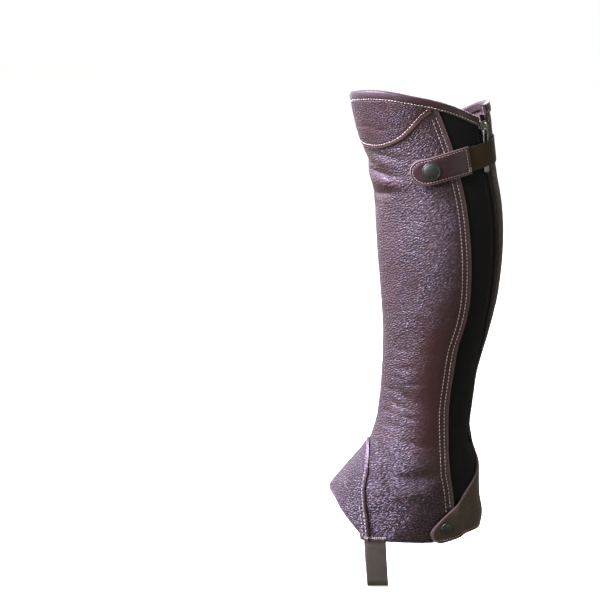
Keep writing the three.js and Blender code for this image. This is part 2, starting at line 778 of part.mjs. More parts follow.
/** The three pieces of a snap as outlines, each from its own lift. */
function snapPieces({ name, radius, above, below, panel }) {
  const room = below - panel;
  return [
    {
      name: `${name}_cap`,
      lift: above + GAP,
      outline: [
        ...[[0, 0], [radius - 0.6, 0], [radius, 0.5], [radius - 0.3, 1.1]],
        ...[[radius - 1.8, 1.7], [radius * 0.45, 2.1], [0, 2.2]],
      ],
    },
    {
      name: `${name}_socket`,
      lift: below - GAP - 1.2,
      outline: [[2.5, 0], [5, 0], [5.4, 0.5], [5.4, 1.2], [2.5, 1.2], [2.5, 0]],
    },
    {
      name: `${name}_stud`,
      lift: panel + GAP,
      outline: [[0, 0], [5, 0], [5, 0.5], [2, 0.7], [2.1, room - 1], [1.4, room - 0.8], [0, room - 0.8]],
    },
  ];
}

/** Webbing loop under the sole, sewn inside the lower edges of the chap on both sides. */
function stirrupStrap() {
  const { top, x, width, backward, sole, soleHalf, corner } = STIRRUP;
  const outer = [];
  const inner = [];
  const row = (height, place) => {
    const middle = x - backward * ((top - height) / (top - sole));
    const edges = [middle - width / 2, middle + width / 2];
    outer.push(edges.map((edge) => place(edge, 1)));
    inner.push(edges.map((edge) => place(edge, 0)));
  };
  const onForm = ({ side, lift }, height) =>
    row(height, (edge, out) => lifted(angleAt(edge, height, side), height, lift + out * ELASTIC));
  const down = ({ side, lift }, height) =>
    row(height, (edge, out) => {
      const angle = angleAt(edge, STIRRUP_LEAVES, side);
      const start = lifted(angle, STIRRUP_LEAVES, lift).y * side;
      const t = (height - sole - corner) / (STIRRUP_LEAVES - sole - corner);
      const y = lerp(soleHalf + corner - ELASTIC, start, t) + out * ELASTIC;
      return new THREE.Vector3(edge, side * y, height - HOLD_HEIGHT);
    });
  const turn = ({ side }, degrees) => {
    const sin = Math.sin(degToRad(degrees));
    const cos = Math.cos(degToRad(degrees));
    row(sole + corner * (1 - sin), (edge, out) => {
      const reach = corner - (1 - out) * ELASTIC;
      const z = sole + corner - reach * sin - HOLD_HEIGHT;
      return new THREE.Vector3(edge, side * (soleHalf + reach * cos), z);
    });
  };
  const outside = { side: 1, lift: OVER_ONE - ELASTIC - GAP - 0.1 };
  const inside = { side: -1, lift: -ELASTIC - GAP };
  STIRRUP_ROWS.onForm.forEach((height) => onForm(outside, height));
  STIRRUP_ROWS.down.forEach((height) => down(outside, height));
  STIRRUP_ROWS.turns.forEach((degrees) => turn(outside, degrees));
  STIRRUP_ROWS.turns.toReversed().forEach((degrees) => turn(inside, degrees));
  STIRRUP_ROWS.down.toReversed().forEach((height) => down(inside, height));
  STIRRUP_ROWS.onForm.toReversed().forEach((height) => onForm(inside, height));
  return sheet(outer, inner);
}

// ---------------------------------------------------------------- assembly

const group = new THREE.Group();

/** Adds a named piece in a finish. */
function add(name, geometry, finish) {
  const mesh = new THREE.Mesh(geometry, new THREE.MeshStandardMaterial(FINISH[finish]));
  mesh.name = name;
  group.add(mesh);
  return mesh;
}

add('front_panel', frontPanel(), 'pebbled');
add('inner_panel', innerPanel(), 'pebbled');
add('elastic_panel', elasticPanel(), 'stretch');
add('knee_yoke', kneeYoke(), 'pebbled');
add('toe_extension', toeExtension(), 'pebbled');
add('top_binding', topBinding(), 'smooth');

const tape = { foot: ZIP_TAPE.foot, lift: -ZIP_TAPE.thick - GAP, thick: ZIP_TAPE.thick };
const outerTape = { ...tape, from: -ZIP_TAPE.width, to: -GAP, head: ZIP_TAPE.outerHead };
const innerTape = { ...tape, from: GAP, to: ZIP_TAPE.width, head: ZIP_TAPE.innerHead };
const chain = {
  from: -ZIP_CHAIN.width / 2,
  to: ZIP_CHAIN.width / 2,
  foot: ZIP_CHAIN.foot,
  head: SLIDER.height - SLIDER.length / 2 - GAP,
  lift: 0,
  thick: ZIP_CHAIN.thick,
};
add('zip_tape_outer', zipRibbon(outerTape), 'zip');
add('zip_tape_inner', zipRibbon(innerTape), 'zip');
add('zip_chain', zipRibbon(chain), 'zip');

const zipTop = zipLine(SLIDER.height);
standOn(add('zip_slider', zipSlider(), 'nickel'), zipTop, SLIDER.height, 0);
const pull = add('zip_pull', zipPull(), 'nickel');
standOn(pull, zipTop, SLIDER.height, 0);
pull.translateY(BAIL.hinge);
pull.translateZ(SLIDER.thick + BAIL.clear);
pull.rotateZ(degToRad(PULL.hang));
pull.rotateX(degToRad(PULL.lean));

add('strap_tab', strapTab(), 'smooth');
add('strap_elastic', strapWebbing(), 'webbing');
for (const snap of SNAPS) {
  const angle = snap.angle ?? angleAt(snap.x, snap.height, 1);
  for (const piece of snapPieces(snap)) {
    const mesh = add(piece.name, turned(piece.outline), 'gunmetal');
    standOn(mesh, angle, snap.height, piece.lift);
  }
}
add('stirrup_strap', stirrupStrap(), 'webbing');

export default group;
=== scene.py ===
"""Half chap for the left leg, in its worn shape and with nothing inside it.

It is a leather gaiter from just below the knee to the boot: a front panel and an inner panel of
pebbled leather, a yoke laid on below the knee, a toe extension over the instep, a smooth binding
folded over the top edge, an elastic panel beside the zip at the back, a snapped strap over the
zip, a snapped heel tab and a webbing strap under the sole.

Sizes are millimetres until a mesh is made. +X points to the toe, +Y to the outside of the leg and
+Z up, and the origin is on the leg's axis at the fullest part of the calf. A place on the worn
form is an angle (0 at the shin, 90 outside, 180 at the back) and a height over the wearer's floor.
"""

import logging
import math
from collections.abc import Callable, Sequence
from dataclasses import dataclass, field
from enum import Enum
from functools import cache

import bmesh
import bpy
import numpy as np
from bmesh.types import BMEdge, BMesh, BMVert
from bpy.types import ID, Material, Mesh, Node, Object
from bpy.types import NodeSocket as Socket
from mathutils import Euler, Matrix, Vector


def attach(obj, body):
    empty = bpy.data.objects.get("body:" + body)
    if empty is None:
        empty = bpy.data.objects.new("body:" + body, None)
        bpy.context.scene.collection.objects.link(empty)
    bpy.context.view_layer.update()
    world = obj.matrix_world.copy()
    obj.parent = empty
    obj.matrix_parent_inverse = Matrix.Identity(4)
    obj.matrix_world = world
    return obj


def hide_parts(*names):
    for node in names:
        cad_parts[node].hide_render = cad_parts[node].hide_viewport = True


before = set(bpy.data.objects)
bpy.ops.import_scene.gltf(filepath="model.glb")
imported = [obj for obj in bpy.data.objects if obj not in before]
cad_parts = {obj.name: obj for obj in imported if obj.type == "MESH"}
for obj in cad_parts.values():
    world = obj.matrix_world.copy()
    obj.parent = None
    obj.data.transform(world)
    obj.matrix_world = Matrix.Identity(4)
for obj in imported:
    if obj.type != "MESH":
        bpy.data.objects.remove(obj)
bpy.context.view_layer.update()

log = logging.getLogger("half_chap")

MM = 0.001
HOLD_HEIGHT = 357.0  # the origin's height over the wearer's floor
GAP = 0.35  # left between two layers
LEATHER = 1.4  # thickness of the leather
ELASTIC = 1.2  # thickness of the straps' webbing
OVER_ONE = LEATHER + GAP  # where a layer lies that passes over one other
OVER_TWO = 2 * OVER_ONE
SEAM_UNDER = 9.0  # how far a panel reaches in under the front panel's seams
NET_CELLS = 256  # rows of random numbers before a noise repeats

Array = np.ndarray
Number = Array | float
Line = Callable[[Array], Array]
Pair = tuple[float, float]
Triple = tuple[float, float, float]
Colour = Place = Triple


class Body(Enum):
    """The bodies that pieces ride on."""

    CHAP = "chap"
    PULL = "pull"


class Slot(Enum):
    """The record's finishes."""

    PEBBLED = "pebbled_leather"
    SMOOTH = "smooth_leather"
    STRETCH = "stretch_elastic"
    WEBBING = "webbing"
    TAPE = "zip_tape"
    TEETH = "zip_teeth"
    NICKEL = "nickel"
    GUNMETAL = "gunmetal"


class Held(Enum):
    """How a sheet is held in its place."""

    STRETCHED = "stretched"
    LAID = "laid"
    FOLDED = "folded"


class Side(Enum):
    """The two sides of the leg."""

    OUTSIDE = 1
    INSIDE = -1


# ---------------------------------------------------------------- the worn form


def mixed(start: Number, end: Number, share: Number) -> Number:
    """Value at a share of the way from start to end."""
    return start + (end - start) * share


def eased(value: Number, start: float, end: float) -> Array:
    """Soft step from 0 at start to 1 at end, which may lie on either side of start."""
    t = np.clip((np.asarray(value, float) - start) / (end - start), 0.0, 1.0)
    return t * t * (3.0 - 2.0 * t)


def ridge(distance: Number, width: float) -> Array:
    """Soft bump of height 1 at distance 0 that has faded at the given width."""
    return np.exp(-((np.asarray(distance, float) / (0.5 * width)) ** 2))


def unit(vectors: Array) -> Array:
    """The same vectors with a length of 1."""
    return vectors / np.linalg.norm(vectors, axis=-1, keepdims=True)


def run_along(points: Array, axis: int = 0) -> Array:
    """Length of the way to each point of a row or a column of points, from 0."""
    steps = np.linalg.norm(np.diff(points, axis=axis), axis=-1)
    return np.insert(np.cumsum(steps, axis=axis), 0, 0.0, axis=axis)


def net(columns: int, rows: int) -> tuple[Array, Array]:
    """Shares from 0 to 1 along a row of points and up a column of them."""
    return np.linspace(0, 1, columns)[None, :], np.linspace(0, 1, rows)[:, None]


class Track:
    """Smooth curve through rows of a key and a value, level beyond its ends."""

    def __init__(self, *rows: Pair) -> None:
        """Keeps the rows and works out the slope at each.

        Args:
            rows: pairs of key and value, with rising keys.
        """
        self.keys, self.values = np.array(rows, float).T
        span = np.diff(self.keys)
        secant = np.diff(self.values) / span
        middle = (secant[:-1] * span[1:] + secant[1:] * span[:-1]) / (span[:-1] + span[1:])
        self.slopes = np.concatenate([secant[:1], middle, secant[-1:]])

    def at(self, key: Number) -> Array:
        """Value of the curve.

        Args:
            key: one key or an array of them.

        Returns:
            The value at each key.
        """
        key = np.asarray(key, float)
        k = np.clip(np.searchsorted(self.keys, key, side="right") - 1, 0, len(self.keys) - 2)
        span = self.keys[k + 1] - self.keys[k]
        t = np.clip((key - self.keys[k]) / span, 0.0, 1.0)
        start = self.values[k] * (1 + 2 * t) + self.slopes[k] * span * t
        end = self.values[k + 1] * (3 - 2 * t) - self.slopes[k + 1] * span * (1 - t)
        return start * (1 - t) ** 2 + end * t**2


@dataclass(frozen=True)
class Crease:
    """Soft trough (depth below zero) or roll that runs round the leg and fades at both ends."""

    angle: float
    height: float
    reach: float
    climb: float
    width: float
    depth: float

    def depth_at(self, angle: Array, height: Array) -> Array:
        """How far the crease moves the leather out.

        Args:
            angle: angles round the leg.
            height: their heights.

        Returns:
            The move outward at each place.
        """
        turn = (angle - self.angle + 180.0) % 360.0 - 180.0
        across = (height - self.height - self.climb * turn) / self.width
        fade = np.cos(0.5 * np.pi * np.clip(turn / self.reach, -1.0, 1.0)) ** 2
        return self.depth * fade * np.exp(-(across**2))


def creases(*rows: tuple[float, ...]) -> tuple[Crease, ...]:
    """Creases from rows of angle, height, reach, climb, width and depth."""
    return tuple(Crease(*row) for row in rows)


@dataclass(frozen=True)
class SoftNoise:
    """Smooth random waves over the leather, the same ones each time it is asked."""

    across: float
    up: float
    seed: int

    def at(self, angle: Array, height: Array) -> Array:
        """Waves between -1 and 1 that close on themselves round the leg.

        Args:
            angle: angles round the leg.
            height: their heights.

        Returns:
            The wave's value at each place.
        """
        cells = max(4, round(360.0 / self.across))
        lattice = np.random.default_rng(self.seed).uniform(-1.0, 1.0, (NET_CELLS, cells))
        x = (angle % 360.0) / 360.0 * cells
        y = height / self.up
        i, j = np.floor(x).astype(int), np.floor(y).astype(int)
        s, t = x - i, y - j
        s, t = s * s * (3 - 2 * s), t * t * (3 - 2 * t)
        left, right = i % cells, (i + 1) % cells
        rows = (j % NET_CELLS, (j + 1) % NET_CELLS)
        low, high = (mixed(lattice[row, left], lattice[row, right], s) for row in rows)
        return mixed(low, high, t)


# Sections of the form: height, where they meet the shin and the back, half widths, shin's taper.
SECTIONS = (
    (50, 146, -36, 43, 43, 0), (60, 137, -39, 42.6, 42.6, 0), (75, 125, -41.6, 42, 42, 0),
    (94, 110.5, -39, 41.2, 41.4, 0.02), (105, 103, -38.3, 40.8, 41, 0.03),
    (116, 93.5, -38.2, 40.2, 40.6, 0.04), (128, 83.3, -37.6, 39.6, 40, 0.05),
    (139, 74, -34, 39, 39.4, 0.05), (149, 67.4, -30.8, 38.4, 39, 0.05),
    (163, 62.2, -30.2, 38, 39, 0.06), (189, 57, -33, 38, 40, 0.08), (220, 54.4, -37, 41, 43, 0.1),
    (263, 53.4, -48.6, 46.5, 48.5, 0.11), (300, 55.8, -57, 52, 54, 0.11),
    (334, 58.6, -60.6, 55, 57, 0.11), (369, 61, -61.3, 56, 58, 0.1),
    (394, 62.6, -58.9, 56, 57, 0.09), (417, 66, -54.6, 55, 55.5, 0.07),
    (447, 74, -50.6, 54, 54, 0.05), (475, 81.2, -47.6, 53, 52.5, 0.03),
    (500, 86.4, -42, 52, 52, 0.02),
)

# The largest folds, which the model's solids have too. Their rows, as those of the creases below,
# are angle, height, reach, climb, width and depth.
FOLDS = creases(
    (12, 435, 62, -0.05, 7, -2.3), (14, 420, 70, -0.07, 9, 1.5), (92, 119, 34, 0.08, 7, -2.2),
    (62, 126, 26, -1.1, 8, -1.6), (60, 199, 34, -0.45, 9, -1.4), (255, 201, 50, 0.12, 8, -2.4),
    (250, 217, 44, 0.1, 9, 1.7), (275, 172, 46, -0.15, 8, -1.8), (268, 127, 40, 0.2, 8, -2),
)

# Creases under the knee and on the calf, from the shin round the outside.
KNEE_CREASES = creases(
    (24, 469, 17, 0.05, 2.2, -0.55), (48, 466, 13, -0.06, 2, -0.4), (2, 462, 15, 0.1, 2.6, -0.4),
    (42, 441, 26, -0.12, 2.6, -0.65), (66, 436, 16, -0.2, 2.8, -0.5),
    (34, 434, 38, -0.14, 4.6, 2.4), (26, 423, 42, -0.11, 3.2, -2.3), (36, 413, 36, -0.05, 4.8, 2.1),
    (22, 402, 34, 0.05, 4, -1.8), (8, 388, 26, 0.12, 5, -0.5), (78, 410, 20, 0.3, 5, -0.5),
    (60, 380, 38, 0.12, 14, -0.6), (30, 343, 45, -0.2, 17, 0.7), (74, 305, 34, 0.28, 14, -0.7),
    (40, 268, 40, 0.1, 11, 0.6), (-28, 430, 22, 0.3, 4, -0.9), (-40, 405, 22, 0.35, 5, -0.8),
)

# Fine wrinkles over the ankle on the outside and the front, and the folds down to the hem.
ANKLE_CREASES = creases(
    (46, 246, 22, 0.05, 2.6, -0.42), (34, 236, 20, -0.04, 2.4, -0.37),
    (55, 228, 25, 0.06, 2.8, -0.61), (42, 218, 20, -0.03, 2.4, -0.49),
    (66, 212, 22, 0.1, 2.6, -0.61), (34, 205, 24, -0.06, 2.8, -0.61), (52, 190, 26, -0.2, 3, -0.86),
    (32, 182, 22, 0.05, 2.6, -0.61), (68, 178, 22, -0.14, 2.8, -0.73),
    (46, 169, 24, -0.06, 2.8, -0.73), (26, 161, 20, 0.05, 2.6, -0.61),
    (78, 152, 26, -0.22, 4.2, -1.1), (44, 143, 28, -0.5, 5, -1.22), (66, 107, 26, -0.35, 5.5, 1.1),
    (38, 112, 22, -0.7, 5.5, -0.98), (90, 101, 24, 0.1, 5, 0.86), (28, 98, 20, -0.9, 6, -0.73),
    (74, 82, 22, 0.15, 6, -0.73), (-14, 176, 26, 0.1, 3.2, -0.86),
    (-22, 198, 24, -0.08, 3.2, -0.73), (-30, 158, 26, 0.25, 4, -0.98),
    (-34, 118, 26, 0.7, 5, -0.98), (126, 236, 17, 0.12, 5, -0.86), (131, 203, 16, -0.12, 5, -0.98),
    (128, 174, 18, 0.1, 5, -0.86), (124, 146, 16, 0, 4.5, -0.73), (130, 116, 18, 0.1, 5.5, -0.98),
)

# The inner side: diagonals below the knee, level wrinkles over the heel, folds at the ankle.
INNER_CREASES = creases(
    (232, 457, 28, 0.5, 5, -1.87), (250, 438, 32, 0.45, 5.5, -2.21), (264, 421, 28, 0.4, 5, -1.53),
    (224, 428, 26, -0.3, 5, -1.53), (240, 404, 30, 0.35, 7, -1.36), (277, 447, 24, 0.5, 5, -1.53),
    (208, 410, 22, -0.2, 6, -1.19), (230, 370, 40, 0.1, 14, 1.19), (255, 345, 42, -0.15, 12, -1.36),
    (225, 315, 36, 0.2, 12, 1.02), (262, 292, 34, -0.1, 9, -1.36), (206, 280, 30, 0.15, 8, -1.02),
    (205, 252, 24, 0.05, 3, -1.02), (223, 245, 30, -0.04, 3.2, -1.19),
    (242, 237, 26, 0.06, 3, -1.02), (212, 233, 26, 0, 3, -1.02), (204, 217, 22, -0.05, 3, -1.02),
    (228, 224, 26, 0.05, 3, -1.02), (214, 198, 26, 0, 3, -1.19), (238, 187, 30, -0.05, 3.2, -1.36),
    (264, 184, 24, 0.1, 3.2, -1.19), (207, 178, 24, 0, 2.8, -1.02),
    (230, 169, 28, 0.04, 3.2, -1.36), (250, 158, 28, -0.1, 3.2, -1.19),
    (212, 157, 24, 0, 2.8, -1.02), (248, 141, 28, 0.2, 4, -1.36), (228, 128, 26, -0.1, 4.5, -1.02),
    (262, 108, 30, 0.15, 5, 1.19), (242, 92, 26, 0.1, 4.5, -1.02), (290, 255, 13, 0.6, 4, -1.36),
    (295, 232, 13, -0.6, 4, 1.36), (291, 212, 13, 0.5, 4, -1.36), (297, 193, 13, -0.5, 4, 1.19),
)

STRAP_LINE = Track(
    *((66, 424.6), (87, 427.6), (97, 430.7), (124, 437.8), (140, 441.3), (165, 445)),
    *((190, 446.5), (205, 446.5)),
)


@dataclass(frozen=True)
class Directions:
    """Directions on the form: round it, up it and out of it, and its length to a degree."""

    round: Array
    up: Array
    out: Array
    per_degree: Array


class WornForm:
    """The surface of the worn leg with its folds, which every piece of the chap lies on."""

    def __init__(self, creases: Sequence[Crease], ripple: float) -> None:
        """Keeps the sections as curves.

        Args:
            creases: folds besides the largest ones.
            ripple: height of the random waves of the leather.
        """
        rows = np.array(SECTIONS, float)
        columns = (Track(*zip(rows[:, 0], rows[:, k])) for k in range(1, 6))
        self.front, self.back, self.outer, self.inner, self.shin = columns
        self.creases = tuple(creases)
        self.ripple = ripple
        self.waves = (
            (SoftNoise(15, 13, 3), 0.6), (SoftNoise(7.5, 6, 8), 0.3), (SoftNoise(30, 24, 5), 1.0),
        )

    def fold_depth(self, angle: Array, height: Array) -> Array:
        """Depth of all folds, less where the knee strap presses the leather flat.

        Args:
            angle: angles round the leg.
            height: their heights.

        Returns:
            How far the leather stands out at each place.
        """
        depth = sum(fold.depth_at(angle, height) for fold in FOLDS)
        small = sum((fold.depth_at(angle, height) for fold in self.creases), np.zeros_like(height))
        waves = sum(share * wave.at(angle, height) for wave, share in self.waves)
        small = small + self.ripple * waves
        turn = angle % 360.0
        strap = eased(turn, 58, 72) * eased(turn, 215, 204)
        strap = strap * eased(np.abs(height - STRAP_LINE.at(turn)), 24, 15)
        return depth + small * (1.0 - strap)

    def point(self, angle: Number, height: Number) -> Array:
        """A place on the form.

        Args:
            angle: angles round the leg.
            height: their heights.

        Returns:
            Their points, with x, y and z last.
        """
        angle, height = np.broadcast_arrays(np.asarray(angle, float), np.asarray(height, float))
        front, back = self.front.at(height), self.back.at(height)
        half = (front - back) / 2
        cos, sin = np.cos(np.radians(angle)), np.sin(np.radians(angle))
        width = np.where(sin > 0, self.outer.at(height), self.inner.at(height))
        x = (front + back) / 2 + half * cos
        y = width * sin * (1 - self.shin.at(height) * cos)
        outward = unit(np.stack([cos / half, sin / width, np.zeros_like(cos)], axis=-1))
        place = np.stack([x, y, height - HOLD_HEIGHT], axis=-1)
        return place + outward * self.fold_depth(angle, height)[..., None]

    def directions(self, angle: Number, height: Number) -> Directions:
        """Directions on the form.

        Args:
            angle: angles round the leg.
            height: their heights.

        Returns:
            The directions there.
        """
        step = 0.5
        along = self.point(angle + step, height) - self.point(angle - step, height)
        up = self.point(angle, height + step) - self.point(angle, height - step)
        length = np.linalg.norm(along, axis=-1)
        return Directions(unit(along), unit(up), unit(np.cross(along, up)), length)

    def lifted(self, angle: Number, height: Number, lift: Number) -> Array:
        """Points over the form, by how far they stand off it."""
        out = self.directions(angle, height).out
        return self.point(angle, height) + out * np.asarray(lift, float)[..., None]

    def further(self, angle: Number, height: Number, distance: Number) -> Array:
        """Angle that is a distance further round from an angle."""
        return angle + distance / self.directions(angle, height).per_degree

    def angle_at(self, x: Number, height: Number, side: Side) -> Array:
        """Angle of the place on one side of the leg that has the given x.

        Args:
            x: how far it is towards the toe.
            height: its height.
            side: the side that it is on.

        Returns:
            Its angle, below zero on the inside.
        """
        front, back = self.front.at(height), self.back.at(height)
        share = (x - (front + back) / 2) / ((front - back) / 2)
        return side.value * np.degrees(np.arccos(np.clip(share, -1, 1)))

    def standing(self, angle: float, height: float, lift: float) -> Matrix:
        """Place of a stiff piece that stands on the form.

        Args:
            angle: its angle.
            height: its height.
            lift: how far its own origin stands off.

        Returns:
            A matrix that turns its x round the leg, its y up it and its z out of it.
        """
        ways = self.directions(angle, height)
        across = unit(np.cross(ways.up, ways.out))
        matrix = Matrix(np.column_stack([across, ways.up, ways.out]).tolist()).to_4x4()
        matrix.translation = Vector(self.lifted(angle, height, lift).tolist())
        return matrix


CALM = WornForm((), 0.0)
WORN = WornForm(KNEE_CREASES + ANKLE_CREASES + INNER_CREASES, 0.16)


class Unrolled:
    """The form laid flat, for patterns that follow the leather."""

    def __init__(self, turn_step: float = 3.0, rise_step: float = 8.0) -> None:
        """Measures the form without its small creases on a net of places.

        Args:
            turn_step: degrees between the net's columns.
            rise_step: height between its rows.
        """
        self.steps = (turn_step, rise_step)
        angles, heights = np.arange(-120.0, 361.0, turn_step), np.arange(40.0, 530.0, rise_step)
        self.start = (angles[0], heights[0])
        places = CALM.point(angles[None, :], heights[:, None])
        across = run_along(places, 1)
        across = across - across[:, [int(np.abs(angles).argmin())]]
        self.lengths = np.stack([across, run_along(places, 0)], axis=-1)

    def at(self, angle: Array, height: Array) -> Array:
        """Place on the flat leather.

        Args:
            angle: angles round the leg.
            height: their heights.

        Returns:
            How far round from the shin and how far up each is.
        """
        x = (angle - self.start[0]) / self.steps[0]
        y = (height - self.start[1]) / self.steps[1]
        i = np.clip(np.floor(x).astype(int), 0, self.lengths.shape[1] - 2)
        j = np.clip(np.floor(y).astype(int), 0, self.lengths.shape[0] - 2)
        s, t = (x - i)[..., None], (y - j)[..., None]
        low = mixed(self.lengths[j, i], self.lengths[j, i + 1], s)
        high = mixed(self.lengths[j + 1, i], self.lengths[j + 1, i + 1], s)
        return mixed(low, high, t)


FLAT = Unrolled()


class Pattern:
    """The chap's seams and edges, as they lie on the form."""

    RIM_FRONT = Track(
        *((-110, 472), (-85, 470.5), (-60, 475), (-30, 489.5), (0, 499.5), (29, 503.5)),
        *((53, 504.8), (81, 500.5), (110, 492.3), (138, 479.5), (145, 476.5)),
    )
    RIM_BACK = Track(
        *((150, 488.5), (166, 491), (185, 491.5), (210, 487.5), (240, 477), (275, 470.5)),
        (300, 475),
    )
    HEM = Track(
        *((60, 56), (76, 56), (90, 54.8), (102, 53.8), (116, 52.8), (126, 53.2), (138, 57)),
        *((152, 60), (180, 61.5), (205, 59.5), (230, 55.6), (256, 54), (275, 54.8), (300, 56)),
    )
    OUTER_SEAM_X = Track(
        *((50, -15), (96, -12.4), (126, -8.4), (158, -6.6), (188, -6.8), (219, -10.2)),
        *((250, -14.8), (276, -22), (294, -25.2), (316, -26.6), (338, -26.4), (365, -24.6)),
        *((391, -21.4), (419, -15.2), (448, -7.2), (468, 0.2), (492, 9.5)),
    )
    INNER_SEAM_X = Track(
        *((50, 59), (112, 57.5), (164, 51.5), (195, 47), (229, 42), (262, 41)),
        *((314, 38), (388, 25), (480, 12)),
    )
    ZIP_ANGLE = Track(
        *((140, 171), (190, 168.5), (230, 163.5), (255, 157.5), (280, 152), (320, 150)),
        *((370, 149), (420, 148), (500, 146.5)),
    )
    TAB_EDGE_X = Track(
        *((53.2, 2), (55, 6.5), (58, 9.4), (63, 10.8), (68, 8.8), (74, 3.8), (82, -4.2)),
        *((92, -16.2), (104, -25.4), (115, -32.6), (124, -36), (133, -35.4), (141, -32.9)),
    )
    YOKE_EDGE = Track(
        *((-42, 470.5), (-30, 465.5), (-15, 459), (0, 453.5), (12, 450), (26, 448.4)),
        *((42, 448.8), (55, 452.4), (68, 459.2), (77, 467.3), (86, 477), (95, 484)),
    )
    TOE_SEAM = Track((0, 151), (12, 148.8), (27, 140), (45, 122), (65, 84), (77, 58.5))
    ZIP_OPENING = 6.5  # from the zip's middle to the edge on either side
    TAB_TOP = 141.0  # height at which the heel tab begins
    TOP_DROP = 1.7  # how far under the rim the panels end
    FOOT_UNDER = 14  # how far the front panel reaches in under the toe extension

    @classmethod
    def outer_seam(cls, height: Number) -> Array:
        """Angle of the front panel's edge on the outside."""
        return WORN.angle_at(cls.OUTER_SEAM_X.at(height), height, Side.OUTSIDE)

    @classmethod
    def inner_seam(cls, height: Number) -> Array:
        """Angle of the front panel's edge on the inside."""
        return WORN.angle_at(cls.INNER_SEAM_X.at(height), height, Side.INSIDE)

    @classmethod
    def hem(cls, angle: Number) -> Array:
        """Height of the leather's lower edge."""
        return cls.HEM.at(np.where(np.asarray(angle) < 0, np.asarray(angle) + 360, angle))

    @classmethod
    def front_top(cls, angle: Number) -> Array:
        """Height at which the panels end under the binding, in front of the zip."""
        return cls.RIM_FRONT.at(angle) - cls.TOP_DROP

    @classmethod
    def beside_zip(cls, height: Number, distance: Number) -> Array:
        """Angle at a distance from the zip's middle, towards the inner panel above zero."""
        return WORN.further(cls.ZIP_ANGLE.at(height), height, distance)

    @classmethod
    def front_foot(cls, angle: Number) -> Array:
        """Height of the front panel's cut edge, which the toe extension covers at the front."""
        turn, under = np.abs(angle), cls.FOOT_UNDER
        return np.maximum(cls.TOE_SEAM.at(turn) - under, cls.hem(np.where(turn < 90, turn, angle)))

    @classmethod
    def inner_edge(cls, height: Number) -> Array:
        """Angle of the inner panel's edge at the zip, and below it of the heel tab's edge.

        Args:
            height: heights along the edge.

        Returns:
            The angle at each.
        """
        tab = WORN.angle_at(cls.TAB_EDGE_X.at(height), height, Side.OUTSIDE)
        foot = WORN.angle_at(cls.TAB_EDGE_X.at(cls.TAB_TOP), cls.TAB_TOP, Side.OUTSIDE)
        beside = cls.beside_zip(height, cls.ZIP_OPENING)
        above = mixed(foot, beside, eased(height, cls.TAB_TOP, 160))
        return np.where(np.asarray(height) <= cls.TAB_TOP, tab, above)

    @classmethod
    def inner_lift(cls, angle: Array, height: Array) -> Array:
        """How far the inner panel stands off to pass over its neighbours round the heel.

        Args:
            angle: angles round the leg.
            height: their heights.

        Returns:
            The lift at each place.
        """
        behind = cls.OUTER_SEAM_X.at(height) - WORN.point(angle, height)[..., 0]
        turned = eased(angle, 194, 182)
        over_elastic = (OVER_ONE + GAP) * turned * eased(height, 168, 152)
        over_front = (OVER_TWO - OVER_ONE) * turned * eased(behind, 11, 4)
        over_snap = 2.4 * eased(behind, 10, 1) * eased(height, 96, 80)
        return np.where(angle > 194, 0.0, over_elastic + over_front + over_snap)


# ---------------------------------------------------------------- finishes


